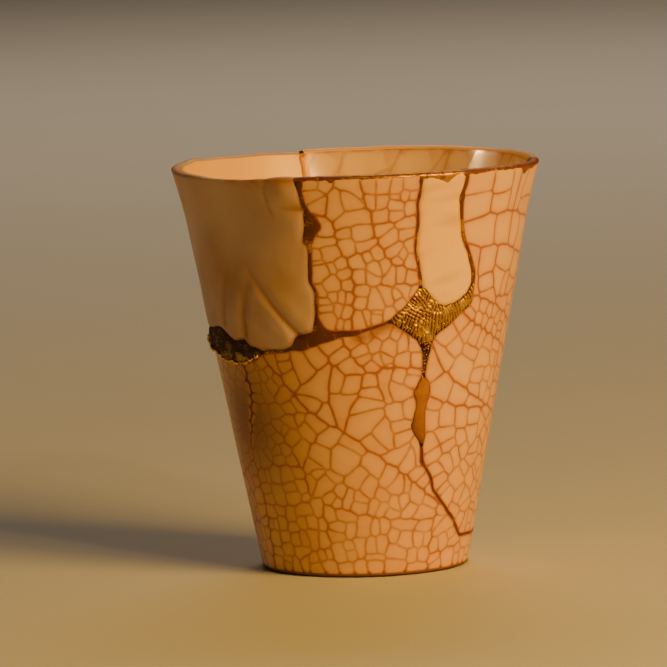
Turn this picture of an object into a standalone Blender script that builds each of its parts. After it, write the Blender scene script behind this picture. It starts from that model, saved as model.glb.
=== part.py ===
"""Kintsugi cup: a tapered cup of crackle glaze, mended from five shards with lacquer and gold.

The wall is drawn flat, as degrees round the cup and millimetres up it, and cut along the breaks there. Each piece
is then bent round and given the wall's thickness. Degrees count from the front, which faces -Y, towards +X.
"""

import math

import bmesh
import bpy
from mathutils import Vector
from mathutils.geometry import delaunay_2d_cdt

MM = 0.001
TURN = 360

# The cup as it was thrown, in millimetres
CUP_HEIGHT = 88.0
FOOT_RADIUS = 22.4
FLARE_HEIGHT = 76.0
FLARE_RADIUS = 37.0
RIM_RADIUS = 40.2
FLARE_BEND = 1.35
RIM_WALL = 2.5
FOOT_WALL = 3.3
LIP_ROUND = 0.9
RIM_WAVE = 0.35

# The floor and the foot, in millimetres
FLOOR_TOP = 4.6
COVE_RADIUS = 5.0
COVE_START = 0.6
FOOT_CHAMFER = 0.7
FOOT_RING_WIDTH = 4.2
FOOT_RECESS = 1.3
RECESS_SLOPE = 0.8

# The mend, in millimetres: the gap between two shards, the clearance round what fills it, and how proud that is
BREAK_WIDTH = 1.3
FIT_GAP = 0.3
SEAM_RISE = 0.2
GOLD_RISE = 0.55
GOLD_EDGE = 1.6

# The folds carved in the plain patch, with a lobe on each side, and its thumbed dimple, in millimetres
FOLD_DEPTH = 0.7
FOLD_WIDTH = 1.5
LOBE_RISE = 0.4
LOBE_REACH = 3.6
LOBE_WIDTH = 2.4
DIMPLE_DEPTH = 0.7
DIMPLE_SPREAD = 9.0

# How finely the solids are faceted: degrees round the cup, and millimetres on plain, carved and gold pieces
FACET_DEGREES = 5
PLAIN_SPACING = 6.0
CARVED_SPACING = 2.6
GOLD_SPACING = 1.7
LIP_BENDS = (0, 40, 90)
COVE_BENDS = (35, 60)

# Where the broken wall starts, low in the rounded corner over the floor
WALL_START = FLOOR_TOP + COVE_START

# Places on the wall are degrees round the cup and percent of the way up from WALL_START to the rim.
# A break runs on above the rim, so that it parts the lip as well.
ABOVE_RIM = 106
BELOW_FOOT = -60
STAR_HEART = (26, 60)
FRONT_JOINT = (-15.5, 58)
BACK_JOINT = (198.5, 52)
FRONT_BREAK = [
    (-17.5, ABOVE_RIM), (-17.5, 96), (-17, 93), (-15.5, 90), (-15, 87), (-16.5, 83.5), (-16, 80),
    (-16.5, 75.5), (-17, 72.5), (-15, 69.5), (-15.5, 65), (-15.5, 62), FRONT_JOINT,
]
BELLY_BREAK = [FRONT_JOINT, (-6, 58.5), (-1, 58.5), (2, 59.5), (7.5, 60.5), (11, 61.5), STAR_HEART]
FINGER_LEFT_BREAK = [
    (20.5, ABOVE_RIM), (20.5, 96.5), (20, 91.5), (20.5, 87), (20, 82), (20, 79), (21.5, 75.5), (22.5, 71),
    STAR_HEART,
]
FINGER_RIGHT_BREAK = [
    (37, ABOVE_RIM), (37, 96.5), (36, 93), (36.5, 90), (37, 88), (38, 84), (39, 81.5), (41.5, 78.5),
    (44, 75), (45.5, 72), (45.5, 68.5), (36, 63), STAR_HEART,
]
LOW_BREAK = [
    STAR_HEART, (26.5, 54), (26, 48.5), (25.5, 43), (26, 40), (25, 34), (27, 28), (27.5, 24), (31, 21.5),
    (33.5, 19), (35, 16), (40.5, 13), (45.5, 10), (51, 7.5), (54.5, 5), (59, 2.6), (67, 2.4), (78, 2.2),
    (90, 2.4), (104, 4), (118, 10), (132, 18), (146, 27), (160, 36), (174, 44), (186, 49), BACK_JOINT,
]
BACK_BREAK = [(198.5, ABOVE_RIM), (197.5, 90), (199.5, 81), (198, 71), (199, 61), BACK_JOINT]
HIP_BREAK = [
    BACK_JOINT, (210, 55), (222, 53), (234, 55.5), (246, 53.5), (258, 55), (268, 55.5), (284, 55),
    (294, 55.5), (304, 53.5), (314, 53), (320, 53.5), (330, 54), (335, 55.5), (340, 57), (344.5, 58),
]

# Wider places in the mend, filled up, as outlines on the wall
STAR_OUTLINE = [
    (22.5, 70), (20.5, 68.5), (19, 67), (16.5, 65), (13, 63), (11, 61.5), (13, 60.5), (16.5, 59), (19.5, 57.5),
    (22.5, 56), (24, 54), (25, 51.5), (25, 47), (26.5, 47), (27.5, 51.5), (28.5, 54), (29, 56.5), (32, 58),
    (36, 59.5), (38.5, 61), (41.5, 62.5), (44.5, 63.5), (46, 65), (46.5, 67.5), (45.5, 70), (44, 68.5),
    (43, 67), (40.5, 66), (37, 65), (34, 64.5), (30.5, 65), (28, 66.5), (26.5, 68), (24, 69.5),
]
CORNER_OUTLINE = [
    (262, 55.5), (264, 53.5), (275.5, 52.5), (288.5, 51.5), (293.5, 50.5), (298.5, 50), (305, 49.5), (310, 50),
    (316, 51.5), (318.5, 53), (317, 54.5), (313, 55), (309.5, 56.5), (304, 56), (300, 57), (294, 59),
    (283.5, 58), (272, 57.5), (264, 57),
]
DROP_OUTLINE = [
    (25, 46.5), (23, 44), (21.5, 42.5), (22, 41.5), (23.5, 40), (23, 37.5), (21.5, 33), (24.5, 30.5),
    (26.5, 28.5), (28, 28.5), (28.5, 31.5), (27.5, 36), (28.5, 40), (29.5, 42.5), (29, 44.5), (26.5, 46.5),
]
WEDGE_OUTLINE = [
    (-27, 55), (-24, 54), (-19, 55), (-15, 56), (-10, 57), (-5, 58), (0, 58.5), (0, 59.5), (-6, 59.5),
    (-12.5, 59.5), (-14.5, 62.5), (-16.5, 62.5), (-17.5, 59.5), (-21, 58.5), (-25, 58),
]
CHIP_OUTLINE = [(-17, 90.5), (-17.5, 86), (-18.5, 82.5), (-15, 82.5), (-14, 84.5), (-11.5, 86.5), (-13.5, 90)]

# The wall is cut open here to lie flat, under the corner fill, where no seam crosses
CUT_OPEN = -70

# The folds carved in the patch's front, each a route from its sharp lower end to where it fades out
FOLD_ROUTES = [
    [(335, 59), (329, 64), (324.5, 68.5), (320, 73), (318, 75)],
    [(309.5, 57), (313, 64), (317.5, 71)],
    [(324, 56), (321, 59)],
    [(335.5, 83), (331, 87), (329, 93), (330.5, 99)],
]
# The hidden side repeats them: where their feet stand, and how far each leans and reaches
HIDDEN_FOLD_FEET = range(212, 298, 14)
HIDDEN_FOLD_LEAN = 5
HIDDEN_FOLD_FOOT = 58
HIDDEN_FOLD_TOP = 72
DIMPLE_CENTRE = (318, 86)

# Colours as linear red, green and blue
CRACKLE_GLAZE = (0.72, 0.42, 0.17)
PLAIN_GLAZE = (0.80, 0.52, 0.24)
LACQUER_BROWN = (0.10, 0.025, 0.004)
OCHRE_LACQUER = (0.35, 0.10, 0.006)
AGED_GOLD = (0.55, 0.24, 0.05)


def way_up(percent):
    """Height in millimetres of a place on the wall."""
    return WALL_START + (CUP_HEIGHT - WALL_START) * percent / 100


def laid_out(route, turns=0):
    """Places on the wall as radians and millimetres, moved round by whole turns."""
    return [(math.radians(degrees + TURN * turns), way_up(percent)) for degrees, percent in route]


def outer_radius(height):
    """Radius of the outside, before the lip is rounded: a cone that flares at the rim."""
    slope = (FLARE_RADIUS - FOOT_RADIUS) / FLARE_HEIGHT
    cone = FOOT_RADIUS + slope * height
    share = max(0.0, height - FLARE_HEIGHT) / (CUP_HEIGHT - FLARE_HEIGHT)
    flare = RIM_RADIUS - (FOOT_RADIUS + slope * CUP_HEIGHT)
    return cone + flare * share**FLARE_BEND


def lip_inset(height):
    """How far the rounded lip draws both faces in towards the middle of the wall."""
    rise = min(1.0, max(0.0, (height - (CUP_HEIGHT - LIP_ROUND)) / LIP_ROUND))
    return LIP_ROUND * (1 - math.sqrt(1 - rise * rise))


def inner_radius(height):
    """Radius of the inside, before the lip is rounded: even walls over a rounded corner."""
    wall = FOOT_WALL + (RIM_WALL - FOOT_WALL) * height / CUP_HEIGHT
    below = max(0.0, FLOOR_TOP + COVE_RADIUS - height)
    cove = COVE_RADIUS - math.sqrt(max(0.0, COVE_RADIUS**2 - below**2))
    return outer_radius(height) - wall - cove


def at(angle, radius, height):
    """A point in metres, on a wall that waves a little at the rim."""
    share = max(0.0, height - WALL_START) / (CUP_HEIGHT - WALL_START)
    wave = RIM_WAVE * math.sin(2 * angle + 0.9) * share**3
    return Vector((radius * math.sin(angle), -radius * math.cos(angle), height + wave)) * MM


def apart(start, end):
    """The way from one place on the wall to another, in millimetres round and up it."""
    around = outer_radius(min(start[1], CUP_HEIGHT))
    return Vector(((end[0] - start[0]) * around, end[1] - start[1]))


def distance_to_route(place, route):
    """Distance to an open route, and how far along the route the nearest place on it is, from 0 to 1."""
    found = []
    for index, (start, end) in enumerate(zip(route, route[1:])):
        line = apart(start, end)
        out = apart(start, place)
        along = min(1.0, max(0.0, out.dot(line) / line.length_squared))
        found.append(((out - line * along).length, (index + along) / (len(route) - 1)))
    return min(found)


def distance_to_outline(place, outline):
    return distance_to_route(place, outline + outline[:1])[0]


def inside(place, outline):
    """Whether a place lies inside a closed outline."""
    odd = False
    for (ax, ay), (bx, by) in zip(outline, outline[1:] + outline[:1]):
        if (ay > place[1]) != (by > place[1]) and place[0] < ax + (bx - ax) * (place[1] - ay) / (by - ay):
            odd = not odd
    return odd


def in_any(place, outlines):
    return any(inside(place, outline) for outline in outlines)


def grown(outline, distance):
    """A closed outline with its sides moved out by a distance along the wall, or in where it is negative."""
    area = sum(ax * by - bx * ay for (ax, ay), (bx, by) in zip(outline, outline[1:] + outline[:1]))
    if area < 0:
        outline = outline[::-1]
    moved = []
    for before, here, after in zip(outline[-1:] + outline[:-1], outline, outline[1:] + outline[:1]):
        arriving = -apart(here, before).normalized()
        leaving = apart(here, after).normalized()
        outward = Vector((arriving.y + leaving.y, -arriving.x - leaving.x)).normalized()
        mitre = distance / max(0.5, outward.dot(Vector((arriving.y, -arriving.x))))
        around = outer_radius(min(here[1], CUP_HEIGHT))
        moved.append((here[0] + outward.x * mitre / around, here[1] + outward.y * mitre))
    return moved


def all_round(outlines, low, high):
    """The outlines and their copies a turn either way, those that reach between two angles."""
    turn = math.radians(TURN)
    copies = [[(angle + turn * k, height) for angle, height in outline] for outline in outlines for k in (-1, 0, 1)]
    return [copy for copy in copies if min(a for a, _ in copy) < high and max(a for a, _ in copy) > low]


def divided(line, longest):
    """A line of places with more between them, so that it bends round the cup."""
    places = line[:1]
    for start, end in zip(line, line[1:]):
        steps = max(1, math.ceil(apart(start, end).length / longest))
        for step in range(1, steps + 1):
            share = step / steps
            places.append((start[0] + (end[0] - start[0]) * share, start[1] + (end[1] - start[1]) * share))
    return places


def facet_angles(low, high):
    """Angles of the facets from low to high, in radians."""
    first = math.floor(math.degrees(low) / FACET_DEGREES + 1e-6)
    last = math.ceil(math.degrees(high) / FACET_DEGREES - 1e-6)
    return [math.radians(FACET_DEGREES * step) for step in range(first, last + 1)]


def cut_from_wall(outlines, keep, low, high, spacing):
    """The wall laid flat between two angles, in triangles that the outlines part, those kept where keep is true."""
    angles = facet_angles(low, high)
    low, high = angles[0], angles[-1]
    lip = [CUP_HEIGHT - LIP_ROUND * (1 - math.sin(math.radians(bend))) for bend in LIP_BENDS]
    cove = [FLOOR_TOP + COVE_RADIUS * (1 - math.cos(math.radians(bend))) for bend in COVE_BENDS]
    lines = [divided(outline + outline[:1], min(spacing, FLARE_RADIUS * math.radians(FACET_DEGREES)))
             for outline in outlines]
    lines += [[(angle, height) for angle in angles] for height in [WALL_START, *lip]]
    rows = max(2, round((lip[0] - cove[-1]) / spacing))
    heights = cove + [cove[-1] + (lip[0] - cove[-1]) * row / rows for row in range(1, rows)]
    lines += [[(angle, height) for height in [WALL_START, *heights, *lip]] for angle in (low, high)]

    points, edges = [], []
    for line in lines:
        edges += [(len(points) + i, len(points) + i + 1) for i in range(len(line) - 1)]
        points += line
    columns = max(len(angles) - 1, round((high - low) * FLARE_RADIUS / spacing))
    for column in range(1, columns):
        for height in heights:
            place = (low + (high - low) * column / columns, height)
            if keep(place) and all(distance_to_outline(place, outline) > 0.4 * spacing for outline in outlines):
                points.append(place)

    flat = [Vector((angle * FLARE_RADIUS, height)) for angle, height in points]
    found, _, triangles, *_ = delaunay_2d_cdt(flat, edges, [], 0, 1e-4, False)
    places = [(point.x / FLARE_RADIUS, point.y) for point in found]
    kept = []
    for triangle in triangles:
        middle = (sum(places[i][0] for i in triangle) / 3, sum(places[i][1] for i in triangle) / 3)
        if low < middle[0] < high and WALL_START < middle[1] < CUP_HEIGHT and keep(middle):
            kept.append(tuple(triangle))
    return places, kept


def rim_of(triangles):
    """The edges that only one of the triangles has."""
    edges = {pair for face in triangles for pair in zip(face, face[1:] + face[:1])}
    return sorted((a, b) for a, b in edges if (b, a) not in edges)


def level(height):
    """No rise: the piece's face is the wall's own."""
    return 0.0


def bent_round(places, triangles, rise=level, open_floor=False):
    """The flat triangles as a piece of the wall, right through it, with its face raised by rise."""
    mesh = bmesh.new()
    outer, inner = {}, {}
    for i in sorted({i for face in triangles for i in face}):
        angle, height = places[i]
        inset = lip_inset(height)
        outer[i] = mesh.verts.new(at(angle, outer_radius(height) - inset + rise(places[i]), height))
        inner[i] = mesh.verts.new(at(angle, inner_radius(height) + inset, height))
    for face in triangles:
        mesh.faces.new([outer[i] for i in face])
        mesh.faces.new([inner[i] for i in reversed(face)])
    ends = (min(places[i][0] for i in outer), max(places[i][0] for i in outer)) if open_floor else ()
    for a, b in rim_of(triangles):
        on_floor = open_floor and max(places[a][1], places[b][1]) < WALL_START + 1e-3
        on_end = any(abs(places[a][0] - end) + abs(places[b][0] - end) < 1e-4 for end in ends)
        if not (on_floor or on_end):
            mesh.faces.new([outer[b], outer[a], inner[a], inner[b]])
    return mesh


def add_object(name, mesh, colour, roughness, metallic=0.0):
    """The mesh as a named object with its own material."""
    bmesh.ops.remove_doubles(mesh, verts=mesh.verts, dist=1e-6)
    bmesh.ops.recalc_face_normals(mesh, faces=mesh.faces)
    data = bpy.data.meshes.new(name)
    mesh.to_mesh(data)
    mesh.free()
    data.shade_smooth()
    data.set_sharp_from_angle(angle=math.radians(40))
    material = bpy.data.materials.new(name)
    material.use_nodes = True
    finish = material.node_tree.nodes["Principled BSDF"]
    finish.inputs["Base Color"].default_value = (*colour, 1.0)
    finish.inputs["Roughness"].default_value = roughness
    finish.inputs["Metallic"].default_value = metallic
    data.materials.append(material)
    piece = bpy.data.objects.new(name, data)
    bpy.context.scene.collection.objects.link(piece)


# What the breaks part the wall into: four shards above, the foot shard below, and the filled places
PATCH = laid_out(FRONT_BREAK, 1) + laid_out(HIP_BREAK[::-1][1:]) + laid_out(BACK_BREAK[::-1][1:])
MIDDLE = laid_out(FRONT_BREAK + BELLY_BREAK[1:] + FINGER_LEFT_BREAK[::-1][1:])
FINGER = laid_out(FINGER_LEFT_BREAK + FINGER_RIGHT_BREAK[::-1][1:])
RIGHT = laid_out(FINGER_RIGHT_BREAK + LOW_BREAK[1:] + BACK_BREAK[::-1][1:])
FOOT_TOP = BELLY_BREAK + LOW_BREAK[1:] + HIP_BREAK[1:-1]
FOOT = (
    laid_out(FOOT_TOP, -1) + laid_out(FOOT_TOP) + laid_out(FOOT_TOP, 1)
    + laid_out([(FOOT_TOP[-1][0] + TURN, BELOW_FOOT), (FOOT_TOP[0][0] - TURN, BELOW_FOOT)])
)
GOLD = [laid_out(STAR_OUTLINE), laid_out(CORNER_OUTLINE), laid_out(DROP_OUTLINE)]
LACQUER = [laid_out(WEDGE_OUTLINE), laid_out(CHIP_OUTLINE)]
FOLDS = [laid_out(route) for route in FOLD_ROUTES] + [
    laid_out([(foot, HIDDEN_FOLD_FOOT), (foot + HIDDEN_FOLD_LEAN, HIDDEN_FOLD_TOP)]) for foot in HIDDEN_FOLD_FEET
]


def carved(place):
    """How far the patch's face stands out or in: folds with a lobe on each side, and a dimple near the rim."""
    rise = 0.0
    for route in FOLDS:
        distance, along = distance_to_route(place, route)
        strength = 1 - along**2
        rise -= FOLD_DEPTH * strength * math.exp(-((distance / FOLD_WIDTH) ** 2))
        rise += LOBE_RISE * strength * math.exp(-(((distance - LOBE_REACH) / LOBE_WIDTH) ** 2))
    away = apart(laid_out([DIMPLE_CENTRE])[0], place).length
    return rise - DIMPLE_DEPTH * math.exp(-((away / DIMPLE_SPREAD) ** 2))


def shard(name, outline, colour, roughness, spacing=PLAIN_SPACING, rise=level):
    """One of the four shards that reach the rim."""
    edge = grown(outline, -BREAK_WIDTH / 2)
    low, high = min(angle for angle, _ in edge), max(angle for angle, _ in edge)
    fills = all_round([grown(fill, FIT_GAP) for fill in GOLD + LACQUER], low, high)

    def keep(place):
        return inside(place, edge) and not in_any(place, fills)

    places, triangles = cut_from_wall([edge, *fills], keep, low, high, spacing)
    add_object(name, bent_round(places, triangles, rise), colour, roughness)


def foot_profile():
    """The foot's radii and heights, from the wall's outer face under the foot and over the floor to its inner face."""
    ring = FOOT_RADIUS - FOOT_CHAMFER - FOOT_RING_WIDTH
    cove = [
        (inner_radius(FLOOR_TOP + COVE_RADIUS) - COVE_RADIUS * (1 - math.sin(math.radians(bend))),
         FLOOR_TOP + COVE_RADIUS * (1 - math.cos(math.radians(bend))))
        for bend in (0, 14)
    ]
    outside = [(outer_radius(WALL_START), WALL_START), (outer_radius(FOOT_CHAMFER), FOOT_CHAMFER)]
    under = [(FOOT_RADIUS - FOOT_CHAMFER, 0.0), (ring, 0.0), (ring - RECESS_SLOPE, FOOT_RECESS)]
    return outside + under, cove + [(inner_radius(WALL_START), WALL_START)]


def foot_shard():
    """The crackled lower body in one piece with the floor and the foot ring."""
    low, high = math.radians(CUT_OPEN), math.radians(CUT_OPEN + TURN)
    edge = grown(FOOT, -BREAK_WIDTH / 2)
    fills = all_round([grown(fill, FIT_GAP) for fill in GOLD + LACQUER], low, high)

    def keep(place):
        return inside(place, edge) and not in_any(place, fills)

    places, triangles = cut_from_wall([edge, *fills], keep, low, high, PLAIN_SPACING)
    mesh = bent_round(places, triangles, open_floor=True)
    angles = facet_angles(low, high)[:-1]
    for profile, centre in zip(foot_profile(), (FOOT_RECESS, FLOOR_TOP)):
        rings = [[mesh.verts.new(at(angle, radius, height)) for angle in angles] for radius, height in profile]
        for upper, lower in zip(rings, rings[1:]):
            for i in range(len(angles)):
                mesh.faces.new([upper[i - 1], upper[i], lower[i], lower[i - 1]])
        middle = mesh.verts.new(at(0, 0, centre))
        hub = rings[-1] if centre == FOOT_RECESS else rings[0]
        for i in range(len(angles)):
            mesh.faces.new([hub[i - 1], hub[i], middle])
    add_object("foot_shard", mesh, CRACKLE_GLAZE, 0.35)


def filled(name, outline, colour, roughness, metallic):
    """A wide place in the mend, filled up proud of the glaze with a rounded edge."""

    def keep(place):
        return inside(place, outline)

    def rise(place):
        share = min(1.0, distance_to_outline(place, outline) / GOLD_EDGE)
        return GOLD_RISE * math.sin(share * math.pi / 2)

    low, high = min(angle for angle, _ in outline), max(angle for angle, _ in outline)
    places, triangles = cut_from_wall([outline], keep, low, high, GOLD_SPACING)
    add_object(name, bent_round(places, triangles, rise), colour, roughness, metallic)


def seams(marks):
    """The lacquer between the shards, one object for each stretch that the gold parts, named by a place on it."""
    low, high = math.radians(CUT_OPEN), math.radians(CUT_OPEN + TURN)
    inset = FIT_GAP - BREAK_WIDTH / 2
    shards = all_round([grown(outline, inset) for outline in (PATCH, MIDDLE, FINGER, RIGHT)], low, high)
    shards.append(grown(FOOT, inset))
    gold = all_round([grown(outline, FIT_GAP) for outline in GOLD], low, high)
    lacquer = all_round(LACQUER, low, high)

    def keep(place):
        return not in_any(place, gold) and (in_any(place, lacquer) or not in_any(place, shards))

    def rise(place):
        return SEAM_RISE

    places, triangles = cut_from_wall([*shards, *gold, *lacquer], keep, low, high, PLAIN_SPACING)
    neighbours = {}
    for face in triangles:
        for a, b in zip(face, face[1:] + face[:1]):
            neighbours.setdefault((min(a, b), max(a, b)), []).append(face)
    for name, mark in marks.items():
        target = laid_out([mark])[0]
        start = min(triangles, key=lambda face: apart(target, places[face[0]]).length)
        stretch, waiting = {start}, [start]
        while waiting:
            face = waiting.pop()
            for a, b in zip(face, face[1:] + face[:1]):
                for other in neighbours[(min(a, b), max(a, b))]:
                    if other not in stretch:
                        stretch.add(other)
                        waiting.append(other)
        add_object(name, bent_round(places, sorted(stretch), rise), LACQUER_BROWN, 0.3)


for old in list(bpy.context.scene.objects):
    bpy.data.objects.remove(old, do_unlink=True)

foot_shard()
shard("left_patch", PATCH, PLAIN_GLAZE, 0.3, CARVED_SPACING, carved)
shard("middle_shard", MIDDLE, CRACKLE_GLAZE, 0.35)
shard("finger_patch", FINGER, PLAIN_GLAZE, 0.3)
shard("right_shard", RIGHT, CRACKLE_GLAZE, 0.35)
filled("gold_star_fill", GOLD[0], AGED_GOLD, 0.4, 1.0)
filled("gold_corner_fill", GOLD[1], AGED_GOLD, 0.4, 1.0)
filled("ochre_drop_fill", GOLD[2], OCHRE_LACQUER, 0.4, 0.0)
seams({
    "front_seam": FRONT_BREAK[8],
    "finger_seam_left": FINGER_LEFT_BREAK[3],
    "finger_seam_right": FINGER_RIGHT_BREAK[5],
    "back_seam": LOW_BREAK[17],
})
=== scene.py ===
"""Kintsugi cup: crackle-glazed shards and two plain patches, joined with brown lacquer and aged gold.

Places on the wall are given as degrees round the cup, counted from the front towards +X, and as millimetres
up it or as percent of the way from its start above the floor to the rim.
"""
import math
import random

import bmesh
import bpy
import numpy as np
from mathutils import Matrix, Vector, noise
from mathutils.geometry import delaunay_2d_cdt


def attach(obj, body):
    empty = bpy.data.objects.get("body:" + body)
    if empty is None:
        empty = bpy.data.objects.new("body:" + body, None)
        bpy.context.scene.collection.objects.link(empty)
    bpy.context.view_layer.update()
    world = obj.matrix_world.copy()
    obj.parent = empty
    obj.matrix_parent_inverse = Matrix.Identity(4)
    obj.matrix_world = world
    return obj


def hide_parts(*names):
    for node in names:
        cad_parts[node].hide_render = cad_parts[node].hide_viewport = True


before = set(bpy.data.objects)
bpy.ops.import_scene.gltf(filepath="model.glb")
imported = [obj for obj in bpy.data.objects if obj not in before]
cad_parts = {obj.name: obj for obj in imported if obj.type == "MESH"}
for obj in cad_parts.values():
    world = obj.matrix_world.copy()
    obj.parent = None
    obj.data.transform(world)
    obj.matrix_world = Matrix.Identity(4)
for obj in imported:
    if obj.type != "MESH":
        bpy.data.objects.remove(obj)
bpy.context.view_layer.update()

MM = 0.001

# The view: a long lens, a little above the rim, held slightly askew
# The camera stands 1.4 m in front, aims left of the cup and above its middle, and is rolled by 1.5 degrees.
CAMERA_DISTANCE = 1400
CAMERA_RISE = math.radians(6.4)
CAMERA_ROLL = math.radians(1.5)
AIM_LEFT = 26.7
AIM_UP = 29.0
PIXELS_PER_MM = 4.6
PICTURE_WIDTH = 667
SENSOR = 36
focal_pixels = PIXELS_PER_MM * CAMERA_DISTANCE
cup_middle = Vector((0, 0, 44))
backwards = Vector((0, -math.cos(CAMERA_RISE), math.sin(CAMERA_RISE)))
level_up = Vector((1, 0, 0)).cross(-backwards)
picture_right = Vector((1, 0, 0)) * math.cos(CAMERA_ROLL) - level_up * math.sin(CAMERA_ROLL)
picture_up = Vector((1, 0, 0)) * math.sin(CAMERA_ROLL) + level_up * math.cos(CAMERA_ROLL)
aim = (-backwards * focal_pixels - picture_right * AIM_LEFT + picture_up * AIM_UP).normalized()
camera_right = (picture_right - aim * picture_right.dot(aim)).normalized()
camera_axes = Matrix((camera_right, (-aim).cross(camera_right), -aim)).transposed()
camera_data = bpy.data.cameras.new("camera")
camera_data.lens = focal_pixels * SENSOR / PICTURE_WIDTH
camera_data.sensor_width = SENSOR
camera_data.clip_end = 20
camera = bpy.data.objects.new("camera", camera_data)
camera_place = (cup_middle + backwards * CAMERA_DISTANCE) * MM
camera.matrix_world = Matrix.Translation(camera_place) @ camera_axes.to_4x4()
bpy.context.scene.collection.objects.link(camera)
bpy.context.scene.camera = camera


def linear(hex_colour):
    """An sRGB hex colour as linear red, green, blue and alpha."""
    parts = [int(hex_colour[i:i + 2], 16) / 255 for i in (0, 2, 4)]
    return (*[p / 12.92 if p <= 0.04045 else ((p + 0.055) / 1.055) ** 2.4 for p in parts], 1.0)


def add_node(tree, kind, settings=None, **inputs):
    """Adds a node with its settings; an input is a value, or another node's output to link from."""
    node = tree.nodes.new(kind)
    for name, value in (settings or {}).items():
        setattr(node, name, value)
    for name, value in inputs.items():
        key = int(name[1:]) if name[0] == "_" else name.replace("_", " ")
        if isinstance(value, bpy.types.NodeSocket):
            tree.links.new(value, node.inputs[key])
        else:
            node.inputs[key].default_value = value
    return node


def new_material(name, **fixed):
    """A material with its Principled shader, whose fixed values are set on the shader's own sockets."""
    material = bpy.data.materials.new(name)
    material.use_nodes = True
    shader = material.node_tree.nodes["Principled BSDF"]
    for key, value in fixed.items():
        shader.inputs[key.replace("_", " ")].default_value = value
    return material, material.node_tree, shader


# The floor and the light
# A pale matt table runs far back. A warm softbox stands at the right in front, with a small one beside it.
# At the left a weak strip lights the cup's side and a narrow spot its mouth, and a high softbox lights the
# table behind. Places here are in metres.
TABLE_SIDES = (-4, 4)
TABLE_ENDS = (-3, 6)
TABLE_MOTTLE = 111.1
ROOM_LIGHT = 0.014


def build_stage():
    material, tree, shader = new_material("pale_matt_table", Roughness=0.85)
    place = add_node(tree, "ShaderNodeTexCoord")
    mottle = add_node(tree, "ShaderNodeTexNoise", Vector=place.outputs["Object"],
                      Scale=1 / (TABLE_MOTTLE * MM), Detail=3.0)
    colour = add_node(tree, "ShaderNodeMix", {"data_type": "RGBA"}, Factor=mottle.outputs["Fac"],
                      _6=linear("D6DBE4"), _7=linear("DBE0E9"))
    tree.links.new(colour.outputs[2], shader.inputs["Base Color"])
    mesh = bpy.data.meshes.new("table")
    (left, right), (front, back) = TABLE_SIDES, TABLE_ENDS
    corners = [(left, front, 0), (right, front, 0), (right, back, 0), (left, back, 0)]
    mesh.from_pydata(corners, [], [(0, 1, 2, 3)])
    mesh.materials.append(material)
    table = bpy.data.objects.new("table", mesh)
    bpy.context.scene.collection.objects.link(table)

    middle = cup_middle * MM
    inner_right_lip = Vector((24, 20, 84)) * MM
    table_behind = Vector((0.1, 1.2, 0.0))
    for name, kind, place, aim, watts, colour, settings in (
        ("key_softbox", "AREA", (0.66, -0.53, 0.42), middle, 10.4, "FFC04E", {"size": 0.40}),
        ("small_softbox", "AREA", (0.43, -0.70, 0.455), middle, 1.5, "FFC878", {"size": 0.05}),
        ("side_strip", "AREA", (-0.84, 0.25, 0.36), middle, 0.4, "FFD8A0",
         {"shape": "RECTANGLE", "size": 0.42, "size_y": 0.03}),
        ("mouth_spot", "SPOT", (-0.86, 0.13, 0.42), inner_right_lip, 110.0, "FFC878",
         {"spot_size": math.radians(2.0), "spot_blend": 0.8, "shadow_soft_size": 0.04}),
        ("back_softbox", "AREA", (0.1, 1.4, 1.1), table_behind, 7.0, "FFE2B8", {"size": 0.9}),
    ):
        light = bpy.data.lights.new(name, kind)
        light.energy = watts
        light.color = linear(colour)[:3]
        for setting, value in settings.items():
            setattr(light, setting, value)
        lamp = bpy.data.objects.new(name, light)
        lamp.location = place
        lamp.rotation_euler = (aim - Vector(place)).to_track_quat("-Z", "Y").to_euler()
        bpy.context.scene.collection.objects.link(lamp)

    world = bpy.data.worlds.new("studio")
    world.use_nodes = True
    world.node_tree.nodes["Background"].inputs["Color"].default_value = linear("F3E9DC")
    world.node_tree.nodes["Background"].inputs["Strength"].default_value = ROOM_LIGHT
    bpy.context.scene.world = world


build_stage()

# The thrown wall
# One stoneware cone, flared at the rim, whose shape every shard and fill follows. Its sizes are the frame's.
CUP_HEIGHT = 88.0
FOOT_RADIUS = 22.4
FLARE_HEIGHT = 76.0
FLARE_RADIUS = 37.0
RIM_RADIUS = 40.2
FLARE_BEND = 1.35
RIM_WALL = 2.5
FOOT_WALL = 3.3
RIM_WAVE = 0.35
RIM_WAVE_TURN = 0.9
RIM_WAVE_BEND = 3
LIP_START = 87.1
LIP_RISE = 0.65
FLOOR_TOP = 4.6
COVE_RADIUS = 5.0
WALL_START = 5.2
HAND_WOBBLE = 0.16
HAND_WOBBLE_LENGTH = 15.0
LIP_BENT_FROM = 70.0
# Degrees round the cup and how far the lip stands above or below the thrown rim there, in millimetres
LIP_LEVELS = [
    (0, 0), (80, 0), (92, 0.5), (104, 0.65), (116, 0.8), (128, 0.65), (146, 0.65), (152, 0.55), (158, 0.43),
    (170, 0.25), (176, 0), (197, -0.2), (199, -0.7), (206, -0.6), (212, -0.4), (224, -0.4), (230, -0.15),
    (240, 0.05), (248, 0.5), (254, 0.3), (272, 0.35), (290, 0), (360, 0),
]
wall_slope = (FLARE_RADIUS - FOOT_RADIUS) / FLARE_HEIGHT


def outer_radius(height):
    share = np.maximum(0.0, height - FLARE_HEIGHT) / (CUP_HEIGHT - FLARE_HEIGHT)
    flare = RIM_RADIUS - (FOOT_RADIUS + wall_slope * CUP_HEIGHT)
    return FOOT_RADIUS + wall_slope * height + flare * share**FLARE_BEND


def inner_radius(height):
    below = np.clip(FLOOR_TOP + COVE_RADIUS - height, 0.0, COVE_RADIUS)
    cove = COVE_RADIUS - np.sqrt(COVE_RADIUS**2 - below**2)
    return outer_radius(height) - (FOOT_WALL + (RIM_WALL - FOOT_WALL) * height / CUP_HEIGHT) - cove


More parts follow.
